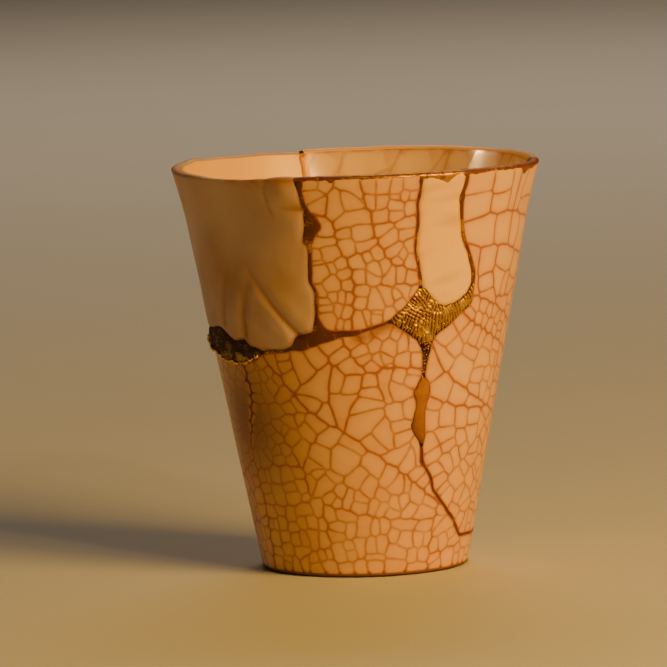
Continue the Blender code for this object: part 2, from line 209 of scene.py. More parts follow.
def rim_wave(angle, height):
    share = np.maximum(0.0, height - WALL_START) / (CUP_HEIGHT - WALL_START)
    return RIM_WAVE * np.sin(2 * angle + RIM_WAVE_TURN) * share**RIM_WAVE_BEND


def lip_level(angle, height):
    """The lip was never quite level, and the left patch was ground a little short at the back."""
    share = np.clip((height - LIP_BENT_FROM) / (CUP_HEIGHT - LIP_BENT_FROM), 0.0, 1.0)
    degrees, level = np.array(LIP_LEVELS).T
    return share * np.interp(np.degrees(angle) % 360, degrees, level)


def in_space(angle, radius, height):
    """Places as points in metres, drawn in a little here and there as a hand-thrown wall is."""
    flat = np.stack([radius * np.sin(angle), -radius * np.cos(angle), height + 0 * angle], axis=-1)
    for point in flat:
        dip = 0.5 + 0.5 * noise.noise(Vector(point) / HAND_WOBBLE_LENGTH)
        inwards = 1 - HAND_WOBBLE * dip / max(1.0, math.hypot(point[0], point[1]))
        point[0] *= inwards
        point[1] *= inwards
    flat[:, 2] += rim_wave(angle, height) + lip_level(angle, flat[:, 2])
    return flat * MM


# The wall unrolled
# A cone opens flat without stretching, as a fan, so cracks that are drawn there keep their real size. The
# outlines come from the CAD nodes, whose loose triangles are merged first.
FAN_FROM = -1.0
FAN_STEPS = 400
NODE_WELD = 1e-6
SHORTEST_SIDE = 0.05
CLOSE_TO = 1e-3
TINY = 1e-9
ROW_SHARE = 0.87
LARGEST_BATCH = 2_000_000
fan_heights = np.linspace(FAN_FROM, CUP_HEIGHT, FAN_STEPS)
fan_steps = np.hypot(np.diff(fan_heights), np.diff(outer_radius(fan_heights)))
fan_turn = wall_slope / math.hypot(1, wall_slope)
fan_reach = outer_radius(FAN_FROM) / fan_turn + np.concatenate([[0.0], np.cumsum(fan_steps)])


def unrolled(angle, height):
    reach = np.interp(height, fan_heights, fan_reach)
    return np.stack([reach * np.sin(angle * fan_turn), reach * np.cos(angle * fan_turn)], axis=-1)


def rolled(flat):
    """The angles and heights of places on the unrolled wall."""
    reach = np.hypot(flat[:, 0], flat[:, 1])
    return np.arctan2(flat[:, 0], flat[:, 1]) / fan_turn, np.interp(reach, fan_reach, fan_heights)


def outline_of(node):
    """The outline of a node's outer face, as arrays of angles and heights."""
    mesh = bmesh.new()
    mesh.from_mesh(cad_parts[node].data)
    bmesh.ops.remove_doubles(mesh, verts=mesh.verts, dist=NODE_WELD)
    angles = {v: math.atan2(v.co.x, -v.co.y) for v in mesh.verts}
    heights = {v: v.co.z / MM for v in mesh.verts}
    outside = set()
    for v in mesh.verts:
        for _ in range(3):
            heights[v] = v.co.z / MM - float(rim_wave(angles[v], heights[v]))
        middle = (outer_radius(heights[v]) + inner_radius(max(heights[v], WALL_START))) / 2
        if math.hypot(v.co.x, v.co.y) / MM > middle:
            outside.add(v)
    following = {}
    for face in mesh.faces:
        if all(v in outside for v in face.verts):
            for loop in face.loops:
                other = loop.link_loop_radial_next.face
                if not all(v in outside for v in other.verts):
                    following[loop.vert] = loop.link_loop_next.vert
    loops = []
    while following:
        here, after = following.popitem()
        chain = [here]
        while after is not chain[0]:
            chain.append(after)
            after = following.pop(after)
        loops.append(chain)
    chain = max(loops, key=lambda loop: sum(heights[v] for v in loop) / len(loop))
    angle = np.unwrap([angles[v] for v in chain])
    angle -= 2 * math.pi * round(angle.mean() / (2 * math.pi))
    height = np.array([heights[v] for v in chain])
    mesh.free()
    return angle, height


def spaced(angle, height, longest, closed=True):
    """The outline in steps no longer than longest, without the lip's round, and which are on the lip."""
    kept = (height < LIP_START + CLOSE_TO) | (height > CUP_HEIGHT - CLOSE_TO)
    angle, height = angle[kept], height[kept]
    on_rim = height > LIP_START - CLOSE_TO
    height = np.minimum(height, LIP_START)
    flat = unrolled(angle, height)
    places, rim = [], []
    count = len(flat)
    for i in range(count if closed else count - 1):
        start, end = flat[i], flat[(i + 1) % count]
        length = math.dist(start, end)
        if length < SHORTEST_SIDE:
            continue
        steps = max(1, round(length / longest))
        for step in range(steps):
            places.append(start + (end - start) * step / steps)
            rim.append(bool(on_rim[i] and (step == 0 or on_rim[(i + 1) % count])))
    if not closed:
        places.append(flat[-1])
        rim.append(bool(on_rim[-1]))
    return np.array(places), np.array(rim)


def distance_to_lines(places, starts, ends):
    """How far each place is from the nearest of some straight lines, which line that is and how far along."""
    lines = ends - starts
    squares = np.maximum((lines**2).sum(-1), 1e-12)
    found = []
    for part in np.array_split(places, max(1, len(places) * len(starts) // LARGEST_BATCH)):
        out = part[:, None, :] - starts[None]
        along = np.clip((out * lines).sum(-1) / squares, 0, 1)
        away = np.linalg.norm(out - along[..., None] * lines, axis=-1)
        nearest = away.argmin(1)
        rows = np.arange(len(part))
        found.append(np.stack([away[rows, nearest], nearest, along[rows, nearest]]))
    away, nearest, along = np.concatenate(found, axis=1)
    return away, nearest.astype(int), along


def within(places, ring):
    x, y = places[:, 0:1], places[:, 1:2]
    ax, ay = ring[:, 0], ring[:, 1]
    bx, by = np.roll(ax, -1), np.roll(ay, -1)
    rise = np.where(by == ay, 1e-12, by - ay)
    crossed = ((ay > y) != (by > y)) & (x < ax + (bx - ax) * (y - ay) / rise)
    return crossed.sum(1) % 2 == 1


def triangulated(ring, inner_places):
    """Triangles over a closed ring and places in it, as indices into the ring and then those places."""
    coordinates = [Vector(p) for p in ring] + [Vector(p) for p in inner_places]
    edges = [(i, (i + 1) % len(ring)) for i in range(len(ring))]
    found, _, faces, origins, *_ = delaunay_2d_cdt(coordinates, edges, [], 1, 1e-7)
    new = len(coordinates)
    index, extra = [], []
    for place, origin in zip(found, origins):
        if origin:
            index.append(origin[0])
        else:
            index.append(new + len(extra))
            extra.append(tuple(place))
    return [tuple(index[i] for i in face) for face in faces], extra


def triangular_grid(ring, spacing):
    """Places in even triangles over the whole breadth and height of a ring."""
    low, high = ring.min(0), ring.max(0)
    rows = np.arange(low[1], high[1], spacing * ROW_SHARE)
    across, up = np.meshgrid(np.arange(low[0], high[0], spacing), rows)
    across = across + (np.arange(len(across)) % 2)[:, None] * spacing / 2
    return np.stack([across.ravel(), up.ravel()], axis=1)


def facing_out(ring):
    """The way out of a ring at each of its places."""
    tangent = np.roll(ring, -1, axis=0) - np.roll(ring, 1, axis=0)
    outward = np.stack([tangent[:, 1], -tangent[:, 0]], axis=1)
    return outward / np.maximum(np.linalg.norm(outward, axis=1)[:, None], TINY)


def uneven_by(flat, level, size):
    """A soft random value at each place, in patches of about the given size; level picks the pattern."""
    return np.array([noise.noise(Vector((x, y, level)) / size) for x, y in flat])


def skin_of(flat, faces, crack, stain=0.0, tone=0.0, rise=0.0):
    """A skin of the wall: its places and faces, and at each place what shapes and colours it."""
    even = np.zeros(len(flat))
    return {"places": flat, "faces": faces, "crack": crack, "stain": even + stain, "tone": even + tone,
            "rise": even + rise}


# The crazed glaze
# As the thick glaze cooled it shrank more than the clay and crazed. First long cracks ran, then shorter ones
# across what they left, each meeting an older one almost squarely. Iron stained them orange brown.
EDGE_STAIN = 1.0
LONG_CRACK_STAIN = 1.1
FIRST_STAIN = 0.84
STAIN_LOSS = 0.04
LEAST_STAIN = 0.45
STAIN_SPREAD = (0.75, 1.15)
CRACK_RINGS = (0.17, 0.5)
RING_CLEARANCE = 0.85
GRID_CLEARANCE = 0.4
CRACK_TRIES = 9
CRACK_SLANT = 0.32
CRACK_OFF_MIDDLE = 0.22
CRACK_LUCK = 0.2
CRACK_BOW = 0.08
CRACK_JITTER = 0.05
JOINT_COST = 0.35
LENGTH_COST = 0.25
LARGEST_CELL = 1.42
CELL_SPREAD = (0.7, 1.35)
SOFTENINGS = 6
SOFTENED_LINE = 0.3
SOFTENED_JOINT = 0.35


class Crazing:
    """A net of cracks over a flat outline, as points and the cells between them."""

    def __init__(self, outline, size_at, seed, step, squash=1.0):
        self.random = random.Random(seed)
        self.squash = np.array([1.0, squash])
        self.points = [tuple(p) for p in outline * self.squash]
        self.fixed = len(self.points)
        self.stain = [EDGE_STAIN] * self.fixed
        self.joints = set()
        self.step = step
        self.size_at = size_at
        self.cells = [(list(range(self.fixed)), 0)]

    def stepped(self, route):
        places = []
        for start, end in zip(route, route[1:]):
            steps = max(1, round(math.dist(start, end) / self.step))
            for k in range(1, steps + 1):
                share = k / steps
                places.append(tuple(start[x] + (end[x] - start[x]) * share for x in (0, 1)))
        return places[:-1]

    def part(self, cell, i, j, between, depth):
        """The two cells that a crack leaves of one, running from its corner i to its corner j."""
        first = len(self.points)
        self.points += between
        strength = max(LEAST_STAIN, FIRST_STAIN - STAIN_LOSS * depth) * self.random.uniform(*STAIN_SPREAD)
        self.stain += [strength] * len(between)
        path = list(range(first, first + len(between)))
        self.joints.update((cell[i], cell[j]))
        if i > j:
            i, j, path = j, i, path[::-1]
        return [(cell[i:j + 1] + path[::-1], depth + 1), (cell[j:] + cell[:i + 1] + path, depth + 1)]

    def run_along(self, route):
        """A crack along a chosen route, through the cell that holds the route's middle."""
        middle = np.array([route[len(route) // 2]])
        for k, (cell, depth) in enumerate(self.cells):
            ring = np.array([self.points[i] for i in cell])
            if within(middle, ring)[0]:
                i = int(np.linalg.norm(ring - route[0], axis=1).argmin())
                j = int(np.linalg.norm(ring - route[-1], axis=1).argmin())
                if abs(i - j) < 2:
                    return
                inner = [tuple(p) for p in route[1:-1]]
                between = self.stepped([self.points[cell[i]], *inner, self.points[cell[j]]])
                self.cells.pop(k)
                self.cells += self.part(cell, i, j, between, max(0, depth - 1))
                self.stain[-len(between):] = [LONG_CRACK_STAIN] * len(between)
                return

    def best_crack(self, cell):
        """The corners that the next crack of a cell joins, across its longer way."""
        ring = np.array([self.points[i] for i in cell])
        after = np.roll(ring, -1, axis=0)
        cross = ring[:, 0] * after[:, 1] - after[:, 0] * ring[:, 1]
        area = cross.sum() / 2
        centre = ((ring + after) * cross[:, None]).sum(0) / (6 * area)
        out = ring - centre
        values, vectors = np.linalg.eigh(out.T @ out)
        long_way = vectors[:, 1]
        reach = math.sqrt(values[1] / len(cell))
        found = []
        for _ in range(CRACK_TRIES):
            turn = self.random.gauss(0, CRACK_SLANT)
            across = np.array([-long_way[1] * math.cos(turn) - long_way[0] * math.sin(turn),
                               long_way[0] * math.cos(turn) - long_way[1] * math.sin(turn)])
            start = long_way * self.random.gauss(0, CRACK_OFF_MIDDLE) * reach
            side = (out - start) @ np.array([-across[1], across[0]])
            along = (out - start) @ across
            change = np.nonzero(side * np.roll(side, -1) < 0)[0]
            ends = []
            for way in (1, -1):
                met = [k for k in change if along[k] * way > 0]
                if met:
                    k = min(met, key=lambda k: along[k] * way)
                    other = (k + 1) % len(cell)
                    ends.append(int(k if abs(side[k]) < abs(side[other]) else other))
            if len(ends) < 2 or min((ends[0] - ends[1]) % len(cell), (ends[1] - ends[0]) % len(cell)) < 3:
                continue
            score = self.random.uniform(0, CRACK_LUCK)
            for end in ends:
                tangent = ring[(end + 1) % len(cell)] - ring[end - 1]
                crack = ring[ends[0]] - ring[ends[1]]
                score += abs(tangent @ crack) / (np.linalg.norm(tangent) * np.linalg.norm(crack) + TINY)
                score += JOINT_COST * (cell[end] in self.joints)
            score += LENGTH_COST * np.linalg.norm(ring[ends[0]] - ring[ends[1]]) / (2 * reach)
            found.append((score, ends))
        return (min(found)[1] if found else None), abs(area), centre

    def run(self):
        """Cracks each cell until it is small enough; then the points, the cells and the points' stain."""
        finished = []
        while self.cells:
            cell, depth = self.cells.pop()
            ends, area, centre = self.best_crack(cell)
            angle, height = rolled(centre[None] / self.squash)
            size = self.size_at(math.degrees(angle[0]), height[0])
            limit = LARGEST_CELL * size**2 * self.squash[1] * self.random.uniform(*CELL_SPREAD)
            if area < limit or ends is None:
                finished.append(cell)
                continue
            start, end = (self.points[cell[k]] for k in ends)
            length = math.dist(start, end)
            steps = max(2, round(length / self.step))
            bow = self.random.gauss(0, CRACK_BOW) * length
            across = ((start[1] - end[1]) / length, (end[0] - start[0]) / length)
            between = []
            for k in range(1, steps):
                share = k / steps
                off = bow * 4 * share * (1 - share) + self.random.gauss(0, CRACK_JITTER)
                between.append(tuple(start[x] + (end[x] - start[x]) * share + across[x] * off
                                     for x in (0, 1)))
            self.cells += self.part(cell, *ends, between, depth)
        self.soften(finished)
        return np.array(self.points) / self.squash, finished, np.array(self.stain)

    def soften(self, cells):
        """Draws each joint a little towards what meets there, so that a T opens towards a Y."""
        near = [set() for _ in self.points]
        for cell in cells:
            for a, b in zip(cell, cell[1:] + cell[:1]):
                near[a].add(b)
                near[b].add(a)
        for _ in range(SOFTENINGS):
            moved = list(self.points)
            for i in range(self.fixed, len(moved)):
                share = SOFTENED_JOINT if len(near[i]) > 2 else SOFTENED_LINE
                for_x = sum(self.points[k][0] for k in near[i]) / len(near[i])
                for_y = sum(self.points[k][1] for k in near[i]) / len(near[i])
                x, y = self.points[i]
                moved[i] = (x + (for_x - x) * share, y + (for_y - y) * share)
            self.points = moved


def skin_of_cells(points, cells, stain, seed, spacing):
    """A fine mesh over the cells, with each place's distance to a crack, its stain and its cell's tone."""
    rng = random.Random(seed)
    places = [tuple(p) for p in points]
    crack = [0.0] * len(points)
    stain = list(stain)
    tone = [0.5] * len(points)
    faces = []
    for cell in cells:
        ring = points[cell]
        outward = facing_out(ring)
        grid = triangular_grid(ring, spacing)
        candidates = np.concatenate([*[ring - outward * inset for inset in CRACK_RINGS], grid])
        least = [RING_CLEARANCE * inset for inset in CRACK_RINGS]
        least.append(CRACK_RINGS[-1] + GRID_CLEARANCE * spacing)
        least = np.repeat(least, [len(ring)] * len(CRACK_RINGS) + [len(grid)])
        gap, side, _ = distance_to_lines(candidates, ring, np.roll(ring, -1, axis=0))
        wanted = (gap > least) & within(candidates, ring)
        chosen, gap, side = candidates[wanted], gap[wanted], side[wanted]
        triangles, extra = triangulated(ring, chosen)
        first = len(places)
        own = list(cell) + list(range(first, first + len(chosen) + len(extra)))
        places += [tuple(p) for p in chosen] + extra
        crack += list(gap) + [0.0] * len(extra)
        stain += [0.5 * (stain[cell[s]] + stain[cell[(s + 1) % len(cell)]]) for s in side]
        stain += [0.5] * len(extra)
        tone += [rng.random()] * (len(chosen) + len(extra))
        faces += [tuple(own[i] for i in face) for face in triangles]
    return skin_of(np.array(places), faces, np.array(crack), np.array(stain), np.array(tone))


# The foot shard
# The lower body of the thrown cup, in one piece with its floor and foot ring: stoneware under thick cream
# glaze, crazed all over. The foot ring was wiped bare before firing and has worn brown.
CRACK_STEP = 0.9
CRACK_WIDTH = 0.25
HALO_WIDTH = 0.8
HALO_STRENGTH = 0.6
GLAZE_CLOUDS = 26
STAIN_PATCHES = 2.4
STAIN_PATCHINESS = 1.3
STAIN_LEAST = 0.35
INSIDE_STAIN = 0.5
CELL_WARMTH = 0.45
# How far the inside glaze is painted paler: painted light for the cup's shaded interior
INSIDE_PAINTED_LIGHT = 0.75
DARKEST_CRACK = 0.8
SMEAR_STRENGTH = 0.75
SKIN_SPACING = 1.25
INNER_SPACING = 3.0
INNER_CELL = 8.5
INNER_SQUASH = 0.55
INNER_CRACK_BREADTH = 0.5
RIM_STAIN = 0.2
FOOT_CUT = math.radians(150)
BREAK_GROWTH = 0.38
BREAK_RAGGED = 0.2
BREAK_RAGGED_LENGTH = 1.7
FOOT_CUT_SWAY = 0.02
FOOT_CUT_WAVES = 11
FOOT_SIDES = 180
FOOT_CHAMFER = 0.7
FOOT_UNDERSIDE = [(22.45, 0.35), (22.1, 0.08), (21.7, 0.0), (17.5, 0.0), (17.1, 0.7), (16.7, 1.3), (9.0, 1.3)]
FLOOR_RINGS = [(18.0, 4.68), (15.0, 4.62), (8.0, 4.6)]
FOOT_EDGE_WEAR = 0.75
UNMARKED = 9.0
LIP_SIDES = 8
SKIN_WELD = 2e-7
SKIN_SPECK = 1e-8
SHARP_FROM = math.radians(55)
# Size of the cells, then where they are larger or smaller: by how much, the middle and the spread
FOOT_CELL = 3.1
FOOT_CELL_CHANGES = [(3.0, (2, 32), (19, 9)), (3.4, (-22, 44), (6, 4)), (-0.6, (7, 47), (10, 4))]
# Degrees and percent along the longest cracks
FOOT_CRACKS = [
    [(-41.3, 52.7), (-33.9, 47.1), (-28.8, 42.8), (-25.6, 40.1), (-19, 36.5), (-10.2, 33.6), (-6.1, 32),
     (4.2, 27.3), (9.5, 25.1), (20.1, 20.8), (26, 17.5), (38.6, 11)],
    [(-15.5, 53.5), (-9.9, 50), (-6.1, 47.9), (2.9, 48.1), (14, 49.5), (25, 49)],
    [(-5.7, 54.7), (-2, 51), (3.3, 48.1)],
    [(-15.3, 48.2), (-13.8, 43.1), (-12.6, 39.3), (-10.5, 33.8)],
    [(0.6, 47.8), (-1.3, 42), (-5.6, 38.2), (-7.5, 33)],
]
# A dark hairline runs down from the gold at the left and fades out, given in degrees and millimetres
HAIRLINE = [
    (-53, 47), (-52.8, 44.3), (-51.7, 41.2), (-52.8, 37.4), (-56.1, 33.3), (-59.3, 27), (-57, 14), (-60, 0.7),
]
HAIRLINE_FADES = (34.0, 24.0)
HAIRLINE_REACH = 0.5
HAIRLINE_STAIN = 3.8
# Lacquer wiped off the belly seam has left an ochre smear under it, given in degrees and millimetres
SMEAR = [(-1, 52.6), (4, 53.2), (8, 54.6), (13, 55.6), (18, 54.0)]
SMEAR_WIDTH = 1.1
# Smoke and iron have browned the glaze below the gold at the left, and the same brown also paints the shade on
# the cup's unlit left side: the stain's middle and its spread
LEFT_STAIN_AND_SHADE = ((-56, 34), (22, 14))
LEFT_STAIN_AND_SHADE_STRENGTH = 0.85


def way_up(percent):
    return WALL_START + (CUP_HEIGHT - WALL_START) * percent / 100


def laid_flat(route):
    """A route in degrees and percent as places on the unrolled wall."""
    degrees, percent = np.array(route, dtype=float).T
    return unrolled(np.radians(degrees), way_up(percent))


def hump(degrees, height, middle, spread):
    """A smooth hump on the wall: its middle and its spread are in degrees round and millimetres up."""
    return math.exp(-(((degrees - middle[0]) / spread[0]) ** 2) - ((height - middle[1]) / spread[1]) ** 2)


def cell_sizes(plain, changes):
    """The size of a shard's cells by place, from a plain size that changes about some places."""
    def size_at(degrees, height):
        return plain + sum(more * hump(degrees, height, middle, spread) for more, middle, spread in changes)
    return size_at


def grown(ring, rim, growth, ragged, ragged_length, softer=1, ends=False):
    """A softened ring, moved out by more here and less there but level at the lip; ends holds an open one."""
    free = ~(rim | np.roll(rim, 1) | np.roll(rim, -1))
    if ends:
        free[[0, 1, -2, -1]] = False
    for _ in range(softer):
        middle = (np.roll(ring, 1, axis=0) + np.roll(ring, -1, axis=0)) / 2
        ring = np.where(free[:, None], (ring + middle) / 2, ring)
    outward = facing_out(ring)
    growth = growth + np.zeros(len(ring))
    uneven = uneven_by(ring, 3.0, ragged_length)
    if ends:
        outward[0] = outward[1]
        outward[-1] = outward[-2]
        uneven[[0, -1]] = 0.0
    moved = ring + outward * (growth + ragged * uneven)[:, None]
    angle, height = rolled(moved)
    if ends:
        angle[0], angle[-1] = rolled(ring[[0, -1]])[0]
        height[[0, -1]] = rolled(ring[:1])[1][0] + growth[0]
    height = np.where(rim, LIP_START, np.minimum(height, LIP_START))
    return unrolled(angle, height)


def crackled_skins(ring, inner_ring, size_at, routes, edge_stain, seed, hairline=None):
    """The crazed outer skin of a shard and its coarser inner one."""
    crazing = Crazing(ring, size_at, seed, CRACK_STEP)
    if hairline is not None:
        crazing.run_along(hairline)
    for route in routes:
        crazing.run_along(laid_flat(route))
    points, cells, stain = crazing.run()
    stain[:len(ring)] = edge_stain
    if hairline is not None:
        away, *_ = distance_to_lines(points, hairline[:-1], hairline[1:])
        height = rolled(points)[1]
        fade = np.interp(height, HAIRLINE_FADES[::-1], (0, 1))
        stain = np.maximum(stain, HAIRLINE_STAIN * fade * (away < HAIRLINE_REACH))
    outer = skin_of_cells(points, cells, stain, seed, SKIN_SPACING)
    crazing = Crazing(inner_ring, cell_sizes(INNER_CELL, []), seed + 1, CRACK_STEP, INNER_SQUASH)
    inner = skin_of_cells(*crazing.run(), seed + 1, INNER_SPACING)
    inner["crack"] = inner["crack"] * INNER_CRACK_BREADTH
    return outer, inner


def crackled_glaze():
    """Thick ash glaze, fired glossy: a cell is palest in its middle, and iron has soaked into the cracks."""
    material, tree, shader = new_material("crackled_cream_glaze", IOR=1.5)
    place = add_node(tree, "ShaderNodeTexCoord").outputs["Object"]
    crack, stain, tone, bare, smear, stain_and_shade, inside = (
        add_node(tree, "ShaderNodeAttribute", {"attribute_name": name}).outputs["Fac"]
        for name in ("crack", "stain", "tone", "bare", "smear", "stain_and_shade", "inside"))
    clouds = add_node(tree, "ShaderNodeTexNoise", Vector=place,
                      Scale=1 / (GLAZE_CLOUDS * MM), Detail=2.0).outputs["Fac"]
    uneven = add_node(tree, "ShaderNodeTexNoise", Vector=place,
                      Scale=1 / (STAIN_PATCHES * MM), Detail=2.0).outputs["Fac"]
    times, plus, power = {"operation": "MULTIPLY"}, {"operation": "MULTIPLY_ADD"}, {"operation": "EXPONENT"}
    colours = {"data_type": "RGBA"}
    patchy = add_node(tree, "ShaderNodeMath", plus, _0=uneven, _1=STAIN_PATCHINESS, _2=STAIN_LEAST).outputs[0]
    soaked = add_node(tree, "ShaderNodeMath", times, _0=stain, _1=patchy).outputs[0]
    share = add_node(tree, "ShaderNodeMapRange", Value=inside, To_Min=1.0, To_Max=INSIDE_STAIN).outputs[0]
    soaked = add_node(tree, "ShaderNodeMath", times, _0=soaked, _1=share).outputs[0]
    near = add_node(tree, "ShaderNodeMath", times, _0=crack, _1=1 / CRACK_WIDTH).outputs[0]
    square = add_node(tree, "ShaderNodeMath", times, _0=near, _1=near).outputs[0]
    faded = add_node(tree, "ShaderNodeMath", times, _0=square, _1=-1.0).outputs[0]
    thread = add_node(tree, "ShaderNodeMath", power, _0=faded).outputs[0]
    line = add_node(tree, "ShaderNodeMath", times, _0=thread, _1=soaked).outputs[0]
    spread = add_node(tree, "ShaderNodeMath", times, _0=crack, _1=-1 / HALO_WIDTH).outputs[0]
    glow = add_node(tree, "ShaderNodeMath", power, _0=spread).outputs[0]
    strong = add_node(tree, "ShaderNodeMath", times, _0=soaked, _1=HALO_STRENGTH).outputs[0]
    halo = add_node(tree, "ShaderNodeMath", times, _0=glow, _1=strong).outputs[0]
    glaze = add_node(tree, "ShaderNodeMix", colours, _0=clouds,
                     _6=linear("F5CD92"), _7=linear("EAB26E")).outputs[2]
    warm = add_node(tree, "ShaderNodeMath", times, _0=tone, _1=CELL_WARMTH).outputs[0]
    # The inside glaze is painted paler, as painted light for the inside of the cup
    inside_painted_light = add_node(tree, "ShaderNodeMath", times, _0=inside, _1=INSIDE_PAINTED_LIGHT).outputs[0]
    clear = add_node(tree, "ShaderNodeMath", {"operation": "MINIMUM"}, _0=line, _1=DARKEST_CRACK).outputs[0]
    dirt = add_node(tree, "ShaderNodeMapRange", Value=line, From_Min=1.2, From_Max=2.2, To_Max=0.9).outputs[0]
    wiped = add_node(tree, "ShaderNodeMath", times, _0=smear, _1=SMEAR_STRENGTH).outputs[0]
    # The browned tint is partly a real stain and partly painted shade on the cup's unlit left side
    for amount, tint in ((warm, "E6A85A"), (inside_painted_light, "FFE4B4"), (stain_and_shade, "5A3A22"), (halo, "CC8044"),
                         (clear, "96492A"), (dirt, "2A1004"), (wiped, "8A4E0C"), (bare, "4A200C")):
        glaze = add_node(tree, "ShaderNodeMix", colours, _0=amount, _6=glaze, _7=linear(tint)).outputs[2]
    tree.links.new(glaze, shader.inputs["Base Color"])
    gloss = add_node(tree, "ShaderNodeMapRange", Value=clouds, To_Min=0.24, To_Max=0.36).outputs[0]
    gloss = add_node(tree, "ShaderNodeMix", Factor=inside, A=gloss, B=0.18).outputs[0]
    rough = add_node(tree, "ShaderNodeMix", Factor=bare, A=gloss, B=0.8).outputs[0]
    tree.links.new(rough, shader.inputs["Roughness"])
    surface = add_node(tree, "ShaderNodeMath", {"operation": "SUBTRACT"}, _0=clouds, _1=clear).outputs[0]
    bump = add_node(tree, "ShaderNodeBump", Height=surface, Distance=0.04 * MM, Strength=0.6)
    tree.links.new(bump.outputs[0], shader.inputs["Normal"])
    return material


crackled_cream_glaze = crackled_glaze()

lip_bends = math.pi * np.arange(1, LIP_SIDES) / LIP_SIDES


def closed_wall(outer, inner, rim, sides):
    """A closed piece of the wall from its two skins, whose first places run along the same sides and lip."""
    angle, height = rolled(outer["places"])
    back_angle, back_height = rolled(inner["places"])
    shift = len(angle)
    points = [*in_space(angle, outer_radius(height) + outer["rise"], height),
              *in_space(back_angle, inner_radius(back_height) - inner["rise"], back_height)]
    values = {key: [*outer[key], *inner[key]] for key in ("crack", "stain", "tone")}
    values["inside"] = [0.0] * shift + [1.0] * len(back_angle)
    faces = list(outer["faces"]) + [tuple(shift + i for i in reversed(face)) for face in inner["faces"]]
    arcs = {}
    for k in range(len(rim)):
        if rim[k]:
            outside, inside = outer_radius(height[k]), inner_radius(height[k])
            proud = outer["rise"][k]
            radius = (outside + inside) / 2 + ((outside - inside) / 2 + proud) * np.cos(lip_bends)
            level = height[k] + (LIP_RISE + proud) * np.sin(lip_bends)
            arc = in_space(np.full(len(lip_bends), angle[k]), radius, level)
            arcs[k] = [k, *range(len(points), len(points) + len(arc)), shift + k]
            points += list(arc)
            values["inside"] += [0.0] * len(arc)
            values["tone"] += [values["tone"][k]] * len(arc)
            for key in ("crack", "stain"):
                values[key] += [outer["lip_" + key][k]] * len(arc)
    for k in range(sides):
        following = (k + 1) % len(rim)
        if rim[k] and rim[following]:
            for i in range(LIP_SIDES):
                faces.append((arcs[following][i], arcs[k][i], arcs[k][i + 1], arcs[following][i + 1]))
            continue
        faces.append((following, k, shift + k, shift + following))
        for end in (k, following):
            if rim[end]:
                faces.append(tuple(arcs[end]))
    return points, faces, values


def finished_piece(name, points, faces, values, material, nodes):
    """A closed mesh from points and faces, with its values as attributes, riding on the cup's one body."""
    mesh = bpy.data.meshes.new(name)
    mesh.from_pydata([tuple(p) for p in points], [], faces)
    for key, numbers in values.items():
        attribute = mesh.attributes.new(key, "FLOAT", "POINT")
        attribute.data.foreach_set("value", np.asarray(numbers, dtype=np.float32))
    welded = bmesh.new()
    welded.from_mesh(mesh)
    bmesh.ops.remove_doubles(welded, verts=welded.verts, dist=SKIN_WELD)
    bmesh.ops.dissolve_degenerate(welded, edges=welded.edges, dist=SKIN_SPECK)
    bmesh.ops.recalc_face_normals(welded, faces=welded.faces)
    welded.to_mesh(mesh)
    welded.free()
    mesh.shade_smooth()
    mesh.set_sharp_from_angle(angle=SHARP_FROM)
    mesh.materials.append(material)
    piece = bpy.data.objects.new(name, mesh)
    bpy.context.scene.collection.objects.link(piece)
    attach(piece, "root")
    if nodes:
        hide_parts(*nodes)


def opened_outline(angle, height):
    """The foot shard's upper edge from one side of its cut round to the other."""
    turn = 2 * math.pi
    wrapped = (angle - FOOT_CUT) % turn + FOOT_CUT - turn
    start = int(np.argmax(np.diff(wrapped, prepend=wrapped[-1])))
    wrapped, height = np.roll(wrapped, -start), np.roll(height, -start)
    share = (FOOT_CUT - wrapped[0]) / (turn - (wrapped[0] - wrapped[-1]))
    level = height[0] + (height[-1] - height[0]) * share
    return np.array([FOOT_CUT, *wrapped, FOOT_CUT - turn]), np.array([level, *height, level])


def closed_below(top, level, bottom):
    """A ring from the foot's upper edge: down the cut at its left, along the bottom and up the cut again."""
    steps = round((level - bottom) / CRACK_STEP)
    share = np.arange(1, steps + 1) / steps
    heights = level + (bottom - level) * share
    sway = FOOT_CUT_SWAY * np.sin(share * math.pi) * np.sin(share * FOOT_CUT_WAVES)
    left = unrolled(FOOT_CUT - 2 * math.pi + sway, heights)
    right = unrolled(FOOT_CUT + sway, heights)[::-1][1:]
    angles = np.linspace(FOOT_CUT - 2 * math.pi, FOOT_CUT, FOOT_SIDES + 1)
    below = unrolled(angles[1:], np.full(FOOT_SIDES, bottom))
    line = list(range(len(top) + steps - 1, len(top) + steps + FOOT_SIDES))
    return np.concatenate([top, left, below, right]), line, angles


